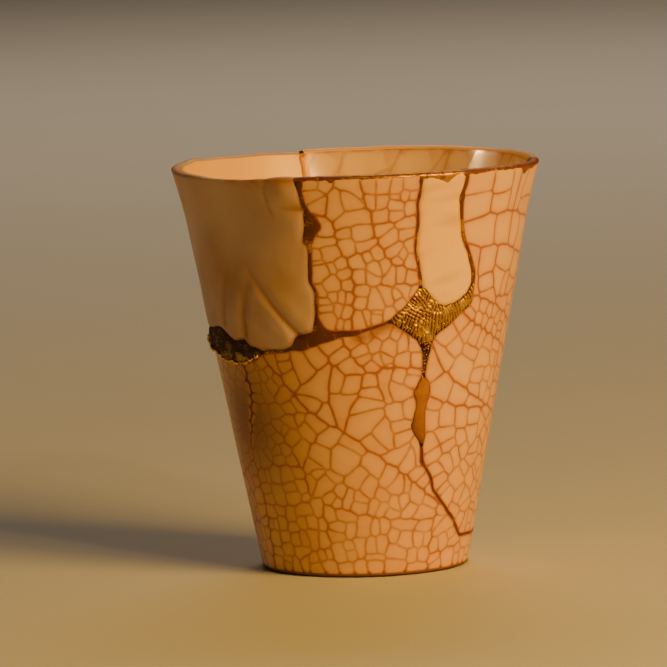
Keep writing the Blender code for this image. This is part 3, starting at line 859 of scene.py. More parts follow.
def build_foot_shard():
    top_angle, top_height = opened_outline(*outline_of("foot_shard"))
    top, rim = spaced(top_angle, top_height, CRACK_STEP, closed=False)
    top = grown(top, rim, BREAK_GROWTH, BREAK_RAGGED, BREAK_RAGGED_LENGTH, ends=True)
    level = rolled(top[:1])[1][0]
    ring, outer_line, angles = closed_below(top, level, FOOT_CHAMFER)
    inner_ring, inner_line, _ = closed_below(top, level, WALL_START)
    hairline, smear = (unrolled(np.radians(degrees), height)
                       for degrees, height in (np.array(HAIRLINE).T, np.array(SMEAR).T))
    sizes = cell_sizes(FOOT_CELL, FOOT_CELL_CHANGES)
    outer, inner = crackled_skins(ring, inner_ring, sizes, FOOT_CRACKS, EDGE_STAIN, 11, hairline)
    points, faces, values = closed_wall(outer, inner, rim, len(rim) - 1)

    shift = len(outer["places"])
    away, *_ = distance_to_lines(outer["places"], smear[:-1], smear[1:])
    angle, height = rolled(outer["places"])
    # Browned glaze at the left: partly a real stain, partly painted shade of the cup's unlit side
    brown = [LEFT_STAIN_AND_SHADE_STRENGTH * hump(degrees, up, *LEFT_STAIN_AND_SHADE) for degrees, up in zip(np.degrees(angle), height)]
    unstained = [0.0] * (len(points) - shift)
    values["smear"] = [*np.exp(-((away / SMEAR_WIDTH) ** 2)), *unstained]
    values["stain_and_shade"] = [*brown, *unstained]
    values["bare"] = [0.0] * len(points)
    for i in outer_line:
        values["bare"][i] = FOOT_EDGE_WEAR

    for last, rings, under in (
        (outer_line, FOOT_UNDERSIDE, True),
        ([shift + i for i in inner_line], FLOOR_RINGS, False),
    ):
        plain = {"crack": UNMARKED, "stain": 0.0, "tone": 0.5, "inside": float(not under), "smear": 0.0,
                 "stain_and_shade": 0.0}
        for radius, height in rings:
            first = len(points)
            points += list(in_space(angles, radius, np.full(len(angles), height)))
            new = list(range(first, len(points)))
            faces += [(last[i], last[i + 1], new[i + 1], new[i]) for i in range(FOOT_SIDES)]
            bare = float(under and radius > FOOT_UNDERSIDE[-2][0])
            for key, value in {**plain, "bare": bare}.items():
                values[key] += [value] * len(new)
            last = new
        points.append((0.0, 0.0, rings[-1][1] * MM))
        faces += [(last[i], last[i + 1], len(points) - 1) for i in range(FOOT_SIDES)]
        for key, value in {**plain, "bare": 0.0}.items():
            values[key].append(value)
    finished_piece("foot_shard_crackled", points, faces, values, crackled_cream_glaze, ["foot_shard"])


build_foot_shard()

# The two crackled shards of the upper wall
# Thrown and glazed with the foot shard, and broken from it. The right one runs on round the back. Its cells
# are broad by the lip and beside the drop, and the middle shard's are small but for a few.
MIDDLE_CELL = 2.95
MIDDLE_CELL_CHANGES = [(3.2, (-2.5, 80), (6, 5))]
RIGHT_CELL = 3.5
RIGHT_CELL_CHANGES = [(1.7, (40, 41), (15, 8))]
LIP_CELL_MORE = 4.0
LIP_CELLS_BETWEEN = (58, 78)
# Degrees and percent along the longest cracks
MIDDLE_CRACKS = [
    [(1.7, 98.4), (1.9, 94.2), (4.4, 90), (5.7, 84.9), (9, 79.1), (11.8, 76.7), (18, 74)],
    [(-15, 90), (-8.6, 88.6), (-6.1, 81), (-2, 75.5), (-1.5, 69.4), (-3, 60)],
]
RIGHT_CRACKS = [
    [(81, 99), (83, 84), (80, 66), (84, 45), (81, 22), (85, 3)],
    [(38.8, 86.6), (49.7, 87.7), (64.1, 87.7), (81, 85)],
    [(40.7, 80.7), (47.3, 79.2), (60.3, 79.3), (81, 76)],
    [(49, 98.2), (50.3, 88)],
    [(64.6, 98), (63.7, 88)],
    [(28, 55), (33.6, 48.7), (39.7, 45.4), (45.9, 42.9), (60.3, 37.9), (83, 33)],
    [(41.8, 63), (49.7, 59), (66, 54.1), (83, 50)],
    [(30, 41), (40, 38.5), (52, 37), (66, 35.5)],
    [(45, 67), (55.6, 65), (70.7, 61), (81, 58)],
    [(63.7, 87.7), (64.6, 79)],
    [(47.2, 79.5), (47.1, 72), (50, 66)],
    [(56.7, 79), (56.2, 72.3), (62, 64)],
]


def right_sizes(degrees, height):
    """The size of the right shard's cells, which grows towards the lip."""
    by_lip = LIP_CELL_MORE * np.interp(height, LIP_CELLS_BETWEEN, (0, 1))
    return cell_sizes(RIGHT_CELL + by_lip, RIGHT_CELL_CHANGES)(degrees, height)


def crackled_shard(node, size_at, routes, seed):
    ring, rim = spaced(*outline_of(node), CRACK_STEP)
    ring = grown(ring, rim, BREAK_GROWTH, BREAK_RAGGED, BREAK_RAGGED_LENGTH)
    edge_stain = np.where(rim, RIM_STAIN, EDGE_STAIN)
    outer, inner = crackled_skins(ring, ring, size_at, routes, edge_stain, seed)
    outer["lip_crack"], outer["lip_stain"] = [UNMARKED] * len(rim), [0.0] * len(rim)
    points, faces, values = closed_wall(outer, inner, rim, len(rim))
    finished_piece(node + "_crackled", points, faces, values, crackled_cream_glaze, [node])


crackled_shard("middle_shard", cell_sizes(MIDDLE_CELL, MIDDLE_CELL_CHANGES), MIDDLE_CRACKS, seed=23)
crackled_shard("right_shard", right_sizes, RIGHT_CRACKS, seed=37)

# The two plain patches
# Pieces of other pots that stand in for lost shards, ground to fit and left uncrazed: a wide one carved with
# folds at the left, whose glaze has pooled warm in the hollows, and a smooth finger-shaped one at the right.
PATCH_STEP = 0.7
PATCH_SPACING = 0.6
PATCH_INNER_SPACING = 3.5
GROUND_EDGE = 1.5
GROUND_DROP = 0.28
LOBE_REACH = 2.6
LOBE_WIDTH = 2.0
FOLD_HEART = 0.6
# Each fold in the left patch: how deep and how broad it is, how far its sides stand up, and its route
FOLDS = [
    (0.50, 0.9, 0.30, [(336.5, 58.5), (331, 62.6), (327.2, 66.1), (323.4, 70), (319, 74.5), (317, 78)]),
    (0.50, 1.0, 0.30, [(311.5, 57.5), (312.1, 62.8), (314.6, 67.4), (318.7, 73)]),
    (0.16, 0.45, 0.0, [(330.8, 99.5), (329.8, 96.3), (329.9, 93.5), (331.4, 89.5), (332.5, 86.5)]),
    (0.30, 0.9, 0.05, [(342, 91.5), (337.2, 91.5), (333, 92)]),
    (0.15, 1.6, 0.05, [(299, 60), (303, 68), (308, 76)]),
]
# Shorter ones carry on round the back, each a little unlike the next
HIDDEN_FOLDS = [
    (0.35 + 0.1 * (k % 2), 1.3 + 0.2 * (k % 3), 0.2,
     [(214 + 13 * k + 3 * (k % 2), 57), (220 + 12 * k, 66 + 4 * (k % 3))])
    for k in range(5)
]
# Humps and hollows: degrees, percent, how far out in millimetres and how broad
SWELLS = [
    (316, 90, -1.5, 9.0), (336.5, 96.0, 0.55, 2.6), (339.0, 87.5, 0.32, 3.0), (297, 80, 0.3, 8.0),
    (330.0, 60.0, 0.45, 2.6), (326.1, 63.5, 0.45, 2.8), (321.5, 69.0, 0.3, 2.8), (302.0, 62.0, 0.3, 4.5),
    (336.0, 72.0, 0.2, 5.0),
]
# Rust on the lip begins here, in degrees, and is full so many degrees further on
RUST_FROM = -52
RUST_GROWS_OVER = 12
RUST_REACH = 0.9
RUST_PATCH = 2.2
RUST_LEVEL = 0.75
OUT_LIMIT = 0.6
BAND_LENGTH = 9
BAND_BREADTH = 2.6
BAND_RISE = 0.05
BAND_POOL = 0.6
EDGE_CLEARANCE = 0.45
LIP_POOL = 0.5
POOL_STRENGTH = 0.7


def turned_back(route):
    """A route on the far left given in degrees from 180 to 360, as degrees below zero."""
    return [(degrees - 360, percent) for degrees, percent in route]


def carved(flat):
    """How far the left patch's face stands out or in, how deep in a fold each place is, and its grey tone,
    partly its own glaze and partly painted shade.
    """
    rise, depth = np.zeros(len(flat)), np.zeros(len(flat))
    for deep, broad, lobe, route in FOLDS + HIDDEN_FOLDS:
        line = laid_flat(turned_back(route))
        away, part, along = distance_to_lines(flat, line[:-1], line[1:])
        strength = 1 - ((part + along) / (len(line) - 1)) ** 2
        groove = strength * np.exp(-((away / broad) ** 2))
        rise += lobe * strength * np.exp(-(((away - LOBE_REACH) / LOBE_WIDTH) ** 2)) - deep * groove
        depth = np.maximum(depth, strength * np.exp(-((away / (FOLD_HEART * broad)) ** 2)))
    for degrees, percent, out, broad in SWELLS:
        away = np.linalg.norm(flat - laid_flat(turned_back([(degrees, percent)])), axis=1)
        rise += out * np.exp(-((away / broad) ** 2))
    angle, height = rolled(flat)
    by_seam = np.clip((np.degrees(angle) - RUST_FROM) / RUST_GROWS_OVER, 0, 1)
    patchy = RUST_LEVEL + uneven_by(flat, 4.0 * RUST_PATCH, RUST_PATCH)
    rust = by_seam * patchy * np.exp(-((LIP_START - height) / RUST_REACH))
    return np.minimum(rise, OUT_LIMIT), np.maximum(depth, rust), 1.0


def swollen(flat):
    """The finger patch swells softly, with a few faint bands across."""
    bands = np.array([noise.noise(Vector((x / BAND_LENGTH, y / BAND_BREADTH, 7.0))) for x, y in flat])
    return BAND_RISE * bands, BAND_POOL * np.maximum(0.0, bands), 0.0


def open_edge(flat, ring, rim):
    """Distance from each place to the nearest side of a ring that isn't on the lip."""
    broken = ~(rim & np.roll(rim, -1))
    return distance_to_lines(flat, ring[broken], np.roll(ring, -1, axis=0)[broken])[0]


def plain_skin(ring, spacing):
    """An even mesh over a ring: the ring's own places first, then a triangular grid within it."""
    grid = triangular_grid(ring, spacing)
    grid = grid[within(grid, ring)]
    gap = distance_to_lines(grid, ring, np.roll(ring, -1, axis=0))[0]
    grid = grid[gap > EDGE_CLEARANCE * spacing]
    triangles, extra = triangulated(ring, grid)
    return np.array([*ring, *grid, *extra]), triangles


def plain_glaze():
    """Smooth cream glaze, softly glossy, with rust in hollows and at the edge. On the left patch's outer face
    it is greyer and darker, partly the patch's own glaze and partly painted shade of the cup's unlit left side,
    while its inner face keeps the pale glaze.
    """
    material, tree, shader = new_material("plain_cream_glaze", IOR=1.5)
    place = add_node(tree, "ShaderNodeTexCoord").outputs["Object"]
    edge, pooled, grey_and_shaded, inside = (
        add_node(tree, "ShaderNodeAttribute", {"attribute_name": name}).outputs["Fac"]
        for name in ("crack", "stain", "tone", "inside"))
    clouds = add_node(tree, "ShaderNodeTexNoise", Vector=place,
                      Scale=1 / (17 * MM), Detail=3.0).outputs["Fac"]
    specks = add_node(tree, "ShaderNodeTexNoise", Vector=place,
                      Scale=1 / (1.1 * MM), Detail=2.0).outputs["Fac"]
    colours = {"data_type": "RGBA"}
    warmth = add_node(tree, "ShaderNodeMapRange", Value=clouds, From_Min=0.35, From_Max=0.7).outputs[0]
    pale = add_node(tree, "ShaderNodeMix", colours, _0=warmth,
                    _6=linear("FFD26C"), _7=linear("FFC85C")).outputs[2]
    # The dull glaze of the left patch's outer face is darkened further as painted shade of the cup's unlit left
    # side
    dull_and_shaded = add_node(tree, "ShaderNodeMix", colours, _0=warmth,
                    _6=linear("CFB09A"), _7=linear("BB8E6B")).outputs[2]
    glaze = add_node(tree, "ShaderNodeMix", colours, _0=grey_and_shaded, _6=pale, _7=dull_and_shaded).outputs[2]
    pool = add_node(tree, "ShaderNodeMath", {"operation": "MULTIPLY"}, _0=pooled, _1=POOL_STRENGTH).outputs[0]
    speck = add_node(tree, "ShaderNodeMapRange", Value=specks,
                     From_Min=0.62, From_Max=0.8, To_Max=0.12).outputs[0]
    worn = add_node(tree, "ShaderNodeMapRange", Value=edge, From_Max=0.8, To_Min=0.65, To_Max=0.0).outputs[0]
    for amount, tint in ((pool, "A45C1C"), (speck, "B98352"), (worn, "9C5A22")):
        glaze = add_node(tree, "ShaderNodeMix", colours, _0=amount, _6=glaze, _7=linear(tint)).outputs[2]
    tree.links.new(glaze, shader.inputs["Base Color"])
    gloss = add_node(tree, "ShaderNodeMapRange", Value=clouds, To_Min=0.3, To_Max=0.46).outputs[0]
    gloss = add_node(tree, "ShaderNodeMix", Factor=inside, A=gloss, B=0.34).outputs[0]
    tree.links.new(gloss, shader.inputs["Roughness"])
    bump = add_node(tree, "ShaderNodeBump", Height=clouds, Distance=0.2 * MM, Strength=0.5)
    tree.links.new(bump.outputs[0], shader.inputs["Normal"])
    return material


plain_cream_glaze = plain_glaze()


def plain_patch(node, shape):
    ring, rim = spaced(*outline_of(node), PATCH_STEP)
    ring = grown(ring, rim, BREAK_GROWTH, BREAK_RAGGED, BREAK_RAGGED_LENGTH)
    flat, triangles = plain_skin(ring, PATCH_SPACING)
    rise, depth, tone = shape(flat)
    edge = open_edge(flat, ring, rim)
    rise -= GROUND_DROP * np.clip(1 - edge / GROUND_EDGE, 0, 1) ** 2
    outer = skin_of(flat, triangles, edge, depth, tone, rise)
    outer["lip_crack"], outer["lip_stain"] = edge, LIP_POOL * depth
    flat, triangles = plain_skin(ring, PATCH_INNER_SPACING)
    inner = skin_of(flat, triangles, open_edge(flat, ring, rim))
    points, faces, values = closed_wall(outer, inner, rim, len(rim))
    finished_piece(node + "_glazed", points, faces, values, plain_cream_glaze, [node])


plain_patch("left_patch", carved)
plain_patch("finger_patch", swollen)

# The lacquer seams
# Brown-black urushi lacquer that glues the shards and stands a little proud of them. It was dusted with gold
# that has rubbed away but for traces.
SEAM_STEP = 0.6
SEAM_SPACING = 0.5
SEAM_RAGGED = 0.34
SEAM_RAGGED_LENGTH = 2.6
SEAM_EDGE = -0.08
SEAM_DOME = 0.24
SEAM_SHOULDER = 0.4
SEAM_TONE = 0.5


def lacquer_with_gold(name, patch_size, patch_detail, grain_size, graininess, gilding, gold_between, most_gold,
                      darker, lighter, edge_between, edge_strength, edge_colour, gold_colour, smoothest,
                      gold_rough, relief):
    """Polished brown urushi: dark and glossy, with islands of worn gold powder, more where tone is high."""
    material, tree, shader = new_material(name, IOR=1.52)
    place = add_node(tree, "ShaderNodeTexCoord").outputs["Object"]
    edge, gilded = (add_node(tree, "ShaderNodeAttribute", {"attribute_name": key}).outputs["Fac"]
                    for key in ("crack", "tone"))
    patches = add_node(tree, "ShaderNodeTexNoise", Vector=place,
                       Scale=1 / (patch_size * MM), Detail=patch_detail).outputs["Fac"]
    grain = add_node(tree, "ShaderNodeTexNoise", Vector=place,
                     Scale=1 / (grain_size * MM), Detail=2.0).outputs["Fac"]
    plus, colours = {"operation": "MULTIPLY_ADD"}, {"data_type": "RGBA"}
    both = add_node(tree, "ShaderNodeMath", plus, _0=grain, _1=graininess, _2=patches).outputs[0]
    cover = add_node(tree, "ShaderNodeMath", plus, _0=gilded, _1=gilding, _2=both).outputs[0]
    gold = add_node(tree, "ShaderNodeMapRange", Value=cover, From_Min=gold_between[0],
                    From_Max=gold_between[1], To_Max=most_gold).outputs[0]
    thin = add_node(tree, "ShaderNodeMapRange", Value=edge, From_Min=edge_between[0],
                    From_Max=edge_between[1], To_Min=edge_strength, To_Max=0.0).outputs[0]
    colour = linear(darker)
    for amount, tint in ((patches, lighter), (thin, edge_colour), (gold, gold_colour)):
        colour = add_node(tree, "ShaderNodeMix", colours, _0=amount, _6=colour, _7=linear(tint)).outputs[2]
    tree.links.new(colour, shader.inputs["Base Color"])
    tree.links.new(gold, shader.inputs["Metallic"])
    rough = add_node(tree, "ShaderNodeMapRange", Value=grain, To_Min=smoothest, To_Max=0.5).outputs[0]
    if gold_rough is not None:
        rough = add_node(tree, "ShaderNodeMix", Factor=gold, A=rough, B=gold_rough).outputs[0]
    tree.links.new(rough, shader.inputs["Roughness"])
    bump = add_node(tree, "ShaderNodeBump", Height=both, Distance=relief * MM, Strength=0.8)
    tree.links.new(bump.outputs[0], shader.inputs["Normal"])
    return material


worn_brown_urushi = lacquer_with_gold(
    "worn_brown_urushi", patch_size=3.4, patch_detail=4.0, grain_size=0.45, graininess=0.55, gilding=0.5,
    gold_between=(1.13, 1.25), most_gold=0.8, darker="3E1808", lighter="70380C", edge_between=(0.0, 0.3),
    edge_strength=0.6, edge_colour="6A2E0C", gold_colour="D29A3A", smoothest=0.2, gold_rough=0.55, relief=0.12)

# Degrees and percent where lacquer ran out over the shards, and how far and how broad in millimetres
RUNS = {
    "front_seam": [(-18.8, 98.5, 1.2, 1.6), (-18.0, 90, 0.15, 2.0)],
    "finger_seam_left": [(20.4, 98, 0.3, 1.5), (22, 72, 0.12, 3.0)],
    "finger_seam_right": [(36.0, 92.6, 0.55, 1.6), (46.2, 70, 0.35, 3.2), (34.8, 98.5, 0.3, 1.2)],
    "back_seam": [],
}
# Degrees, percent, breadth in millimetres of places where the gold powder has stayed on
GILDED = {
    "front_seam": [(-16.2, 88, 1.3), (-37.5, 52.5, 2.5)],
    "finger_seam_left": [(22.3, 72, 4.5)],
    "finger_seam_right": [(39.5, 85, 3.0), (45, 74, 2.0)],
    "back_seam": [],
}


def seam(node, growth, inner_growth=0.0, inner_gold=SEAM_TONE):
    """A ribbon of lacquer right through the wall, domed outside, inside and over the lip."""
    ring, rim = spaced(*outline_of(node), SEAM_STEP)
    away = np.zeros(len(ring))
    for degrees, percent, out, breadth in RUNS[node]:
        gap = np.linalg.norm(ring - laid_flat([(degrees, percent)]), axis=1)
        away = np.maximum(away, out * np.exp(-((gap / breadth) ** 2)))
    base = grown(ring, rim, growth + away, SEAM_RAGGED, SEAM_RAGGED_LENGTH, softer=3)
    skins = []
    for more in (0.0, inner_growth):
        ring = grown(base, rim, more, 0.0, SEAM_RAGGED_LENGTH, softer=0) if more else base
        flat, triangles = plain_skin(ring, SEAM_SPACING)
        edge = open_edge(flat, ring, rim)
        tone = inner_gold if skins else SEAM_TONE
        for degrees, percent, breadth in GILDED[node]:
            gap = np.linalg.norm(flat - laid_flat([(degrees, percent)]), axis=1)
            tone = np.maximum(tone, SEAM_TONE + (1 - SEAM_TONE) * np.exp(-((gap / breadth) ** 2)))
        rise = SEAM_EDGE + SEAM_DOME * (1 - np.exp(-edge / SEAM_SHOULDER))
        skins.append(skin_of(flat, triangles, edge, tone=tone, rise=rise))
    outer, inner = skins
    outer["lip_crack"], outer["lip_stain"] = outer["crack"], outer["stain"]
    points, faces, values = closed_wall(outer, inner, rim, len(rim))
    finished_piece(node + "_urushi", points, faces, values, worn_brown_urushi, [node])


seam("front_seam", growth=0.08)
seam("finger_seam_left", growth=-0.05)
seam("finger_seam_right", growth=-0.03)
seam("back_seam", growth=-0.08, inner_growth=1.0, inner_gold=1.2)

# The gold fills
# Wide places in the mend built up with lacquer paste and covered in gold: a star under the finger patch,
# whose skin has wrinkled like brushed hide, and a smoother swelling at the left. Old dark lacquer lies in the
# grooves.
GOLD_STEP = 0.3
GOLD_SPACING = 0.17
GOLD_GROWTH = 0.16
GOLD_RAGGED = 0.35
GOLD_RAGGED_LENGTH = 0.9
GOLD_EDGE_DROP = -0.1
GOLD_DOME = 0.55
GOLD_SHOULDER = 0.7
GOLD_PLAIN_EDGE = 0.4
GOLD_DARK_EDGE = 0.35
INNER_GOLD_DOME = 0.3
INNER_GOLD_TONE = 0.7
GOLD_GRAIN = 0.6
WRINKLES_PER_MM2 = 1.9
WRINKLE_DEPTH = 0.18
WRINKLE_LENGTH = 0.74
WRINKLE_LENGTHS = (0.92, 1.12)
WRINKLE_REACH = 2.6
WRINKLE_BREADTH = 0.9
WRINKLE_STRAY = 0.07
WRINKLE_LIMITS = (-1.6, 1.4)
LIE_BLUR = 0.3
LIE_FALL = 1.5
STAR_HEART = (26, 57.5)
# Millimetres right of and above the star's heart, and the way the wrinkles lie there in degrees
STAR_LIE = [
    (-7.1, 3.0, -62), (-5.0, 5.3, -30), (-3.2, 7.0, -38), (-1.6, 8.7, -55), (-1.8, 5.5, -30), (-3.7, 3.8, 62),
    (1.0, 7.4, 55), (1.0, 6.0, 45), (2.9, 3.8, -72), (5.7, 5.3, -72), (8.5, 6.6, -75), (10.3, 8.1, -65),
    (-0.9, 1.7, 80), (-3.2, 0.9, 60), (2.0, 1.5, 85), (-0.5, -4.0, 90), (-0.5, -8.0, 90),
]
STAR_TONE = 0.58
STAR_WRINKLE_TONE = 0.4
CRUMB_TONE = 0.35
CRUMB_SIZE = 0.65
CRUMB_RISE = 0.9
CRUMB_HEART = (-0.9, 1.8)
CRUMB_SPREAD = (2.6, 1.6)
CRUMBS_SMOOTH = 0.6
# How deep the star's painted shadow along its lower lip is in steps, each darker than the last, and how much
# deeper by the stem
LOWER_SHADOW_STEPS = (0.5, 0.8, 1.1, 1.4)
LOWER_LIP_LEAST = 0.75
LOWER_LIP_BY_STEM = 0.65
LOWER_LIP_STEM_REACH = 3.5
LOWER_LIP_BROKEN_ABOVE = 0.3
LOWER_LIP_BREAK = 0.3
LOWER_LIP_SINKS = 0.3
STEM_TOP = -1.3
STEM_FADE = 0.6
STEM_DARKNESS = 0.9
# The corner fill carries a painted sheen below this height, in millimetres, and none so much further up
CORNER_SHEEN_BELOW = 49.5
CORNER_SHEEN_FADE_OVER = 3.0
CORNER_TONE = 0.06
CORNER_SHEEN_TONE = 0.5
CORNER_WRINKLE_TONE = 0.05
CORNER_WRINKLE = 0.2
CORNER_LUMP = 0.3
CORNER_LUMP_SIZE = 1.6
CORNER_LIE = [(0.0, 0.0, 20), (5.0, 0.0, -10), (-6.0, 1.0, 60), (2.0, -1.5, 25)]


def wrinkled(flat, heart, lie, seed):
    """Wrinkles as a sum of short wave trains, each turned the way the surface lies where it sits."""
    rng = np.random.default_rng(seed)
    places = np.array([(x, y) for x, y, _ in lie], dtype=float)
    turns = np.radians([2 * turn for _, _, turn in lie])
    local = flat - heart
    low, high = local.min(0) - 1, local.max(0) + 1
    count = int(WRINKLES_PER_MM2 * (high - low).prod())
    centres = rng.uniform(low, high, (count, 2))
    total = np.zeros(len(flat))
    for centre in centres:
        weight = 1 / (((places - centre) ** 2).sum(1) + LIE_BLUR) ** LIE_FALL
        turn = math.atan2((weight * np.sin(turns)).sum(), (weight * np.cos(turns)).sum()) / 2
        turn += rng.normal(0, WRINKLE_STRAY)
        way = np.array([math.cos(turn), math.sin(turn)])
        out = local - centre
        along, across = out @ way, out @ np.array([-way[1], way[0]])
        length = WRINKLE_LENGTH * rng.uniform(*WRINKLE_LENGTHS)
        train = np.exp(-((along / WRINKLE_REACH) ** 2) - (across / WRINKLE_BREADTH) ** 2)
        total += train * np.cos(2 * math.pi * across / length + rng.uniform(0, 2 * math.pi))
    return total / max(TINY, total.std())


def aged_gold():
    """Gold powder on lacquer: warm satin metal on the crests, dull brown where it has worn off."""
    material, tree, shader = new_material("aged_gold_powder")
    place = add_node(tree, "ShaderNodeTexCoord").outputs["Object"]
    crest = add_node(tree, "ShaderNodeAttribute", {"attribute_name": "tone"}).outputs["Fac"]
    grain = add_node(tree, "ShaderNodeTexNoise", Vector=place,
                     Scale=1 / (0.35 * MM), Detail=3.0).outputs["Fac"]
    cover = add_node(tree, "ShaderNodeMath", {"operation": "MULTIPLY_ADD"}, _0=grain, _1=GOLD_GRAIN,
                     _2=crest).outputs[0]
    gold = add_node(tree, "ShaderNodeMapRange", Value=cover, From_Min=0.45, From_Max=0.85).outputs[0]
    colours = {"data_type": "RGBA"}
    metal = add_node(tree, "ShaderNodeMix", colours, _0=grain,
                     _6=linear("B8862A"), _7=linear("ECC466")).outputs[2]
    colour = add_node(tree, "ShaderNodeMix", colours, _0=gold, _6=linear("3A1C04"), _7=metal).outputs[2]
    tree.links.new(colour, shader.inputs["Base Color"])
    metallic = add_node(tree, "ShaderNodeMapRange", Value=gold, To_Max=0.9).outputs[0]
    tree.links.new(metallic, shader.inputs["Metallic"])
    rough = add_node(tree, "ShaderNodeMapRange", Value=grain, To_Min=0.24, To_Max=0.46).outputs[0]
    rough = add_node(tree, "ShaderNodeMix", Factor=gold, A=0.7, B=rough).outputs[0]
    tree.links.new(rough, shader.inputs["Roughness"])
    bump = add_node(tree, "ShaderNodeBump", Height=grain, Distance=0.06 * MM, Strength=0.7)
    tree.links.new(bump.outputs[0], shader.inputs["Normal"])
    return material


aged_gold_powder = aged_gold()


def fill(node, spacing, shaped, material, suffix):
    """A filled place: a domed skin outside, shaped further by a function, and a plainer one inside."""
    ring, rim = spaced(*outline_of(node), GOLD_STEP)
    ring = grown(ring, rim, GOLD_GROWTH, GOLD_RAGGED, GOLD_RAGGED_LENGTH, softer=4)
    flat, triangles = plain_skin(ring, spacing)
    edge = open_edge(flat, ring, rim)
    extra, tone = shaped(flat, edge, ring)
    rise = GOLD_EDGE_DROP + GOLD_DOME * (1 - np.exp(-edge / GOLD_SHOULDER))
    rise += extra * np.clip(edge / GOLD_PLAIN_EDGE, 0, 1)
    outer = skin_of(flat, triangles, edge, tone=tone, rise=rise)
    flat, triangles = plain_skin(ring, 2 * spacing)
    edge = open_edge(flat, ring, rim)
    rise = GOLD_EDGE_DROP + INNER_GOLD_DOME * (1 - np.exp(-edge / GOLD_SHOULDER))
    inner = skin_of(flat, triangles, edge, tone=INNER_GOLD_TONE, rise=rise)
    points, faces, values = closed_wall(outer, inner, rim, len(rim))
    finished_piece(node + suffix, points, faces, values, material, [node])


def star_skin(flat, edge, ring):
    """Chevrons of wrinkles, bright crumbs low in the middle, and a dark ragged lip along the lower edge that is
    painted shadow.
    """
    heart = laid_flat([STAR_HEART])[0]
    local = flat - heart
    waves = wrinkled(flat, heart, STAR_LIE, seed=5)
    crumbs = np.clip(uneven_by(flat, 6.0, CRUMB_SIZE), 0, 1)
    middle = np.exp(-(((local - CRUMB_HEART) / CRUMB_SPREAD) ** 2).sum(1))
    by_stem = np.exp(-((local[:, 0] / LOWER_LIP_STEM_REACH) ** 2))
    # The dark lower lip is painted shadow under the raised fill; the stem's own dark lacquer joins it below
    shadow_below = np.zeros(len(flat))
    for down in LOWER_SHADOW_STEPS:
        drop = down * (LOWER_LIP_LEAST + LOWER_LIP_BY_STEM * by_stem)
        shadow_below += ~within(flat - np.stack([0 * drop, drop], axis=1), ring) / len(LOWER_SHADOW_STEPS)
    shadow_below = np.clip(shadow_below - LOWER_LIP_BREAK * (waves > LOWER_LIP_BROKEN_ABOVE), 0, 1)
    stem = np.clip((STEM_TOP - local[:, 1]) / STEM_FADE, 0, 1)
    shadow_and_stem = np.maximum(shadow_below, STEM_DARKNESS * stem)
    rise = WRINKLE_DEPTH * np.clip(waves, *WRINKLE_LIMITS) * (1 - CRUMBS_SMOOTH * middle)
    rise += CRUMB_RISE * middle * crumbs
    tone = np.clip(STAR_TONE + STAR_WRINKLE_TONE * waves + CRUMB_TONE * middle, 0, 1)
    tone *= np.clip(edge / GOLD_DARK_EDGE, 0, 1)
    return rise - LOWER_LIP_SINKS * shadow_and_stem, tone * (1 - shadow_and_stem)


def corner_skin(flat, edge, ring):
    """Lumpy and nearly smooth, dull olive brown above, with more gold low down that paints the sheen along its
    lower edge.
    """
    waves = wrinkled(flat, flat.mean(0), CORNER_LIE, seed=8)
    lumps = CORNER_LUMP * uneven_by(flat, 1.0, CORNER_LUMP_SIZE)
    _, height = rolled(flat)
    # More gold low down is a painted sheen along the fill's lower edge
    low = np.clip((CORNER_SHEEN_BELOW - height) / CORNER_SHEEN_FADE_OVER, 0, 1)
    tone = CORNER_TONE + CORNER_SHEEN_TONE * low + CORNER_WRINKLE_TONE * waves + lumps
    tone = np.clip(tone * np.clip(edge / GOLD_DARK_EDGE, 0, 1), 0, 1)
    return CORNER_WRINKLE * WRINKLE_DEPTH * waves + lumps, tone


fill("gold_star_fill", GOLD_SPACING, star_skin, aged_gold_powder, "_wrinkled")
fill("gold_corner_fill", GOLD_SPACING, corner_skin, aged_gold_powder, "_beaded")

# The ochre drop
# A thick drop of clear ochre lacquer below the star's stem, run down and set glossy. It is darkest low down,
# where it is thickest.
DROP_SPACING = 0.3
DROP_LUMP = 0.12
DROP_LUMP_SIZE = 2.5
DROP_LUMP_TONE = 0.3
# The share of the way down at which the drop begins to darken, and how fast it does
DROP_PALE_TOP = 0.25
DROP_DARKENING = 1.1


def ochre_lacquer():
    """Clear ochre urushi, poured thick: glossy, honey coloured, browner low down and dark along its edge."""
    material, tree, shader = new_material("ochre_urushi_drop", IOR=1.52, Roughness=0.16)
    place = add_node(tree, "ShaderNodeTexCoord").outputs["Object"]
    edge = add_node(tree, "ShaderNodeAttribute", {"attribute_name": "crack"}).outputs["Fac"]
    low = add_node(tree, "ShaderNodeAttribute", {"attribute_name": "tone"}).outputs["Fac"]
    streaks = add_node(tree, "ShaderNodeTexNoise", Vector=place,
                       Scale=1 / (2.2 * MM), Detail=3.0).outputs["Fac"]
    colours = {"data_type": "RGBA"}
    body = add_node(tree, "ShaderNodeMix", colours, _0=streaks,
                    _6=linear("B87A14"), _7=linear("8C5408")).outputs[2]
    body = add_node(tree, "ShaderNodeMix", colours, _0=low, _6=body, _7=linear("784804")).outputs[2]
    rim = add_node(tree, "ShaderNodeMapRange", Value=edge, From_Min=0.12, From_Max=0.5,
                   To_Min=1.0, To_Max=0.0)
    colour = add_node(tree, "ShaderNodeMix", colours, _0=rim.outputs[0],
                      _6=body, _7=linear("4A2406")).outputs[2]
    tree.links.new(colour, shader.inputs["Base Color"])
    bump = add_node(tree, "ShaderNodeBump", Height=streaks, Distance=0.15 * MM, Strength=0.6)
    tree.links.new(bump.outputs[0], shader.inputs["Normal"])
    return material


ochre_urushi_drop = ochre_lacquer()


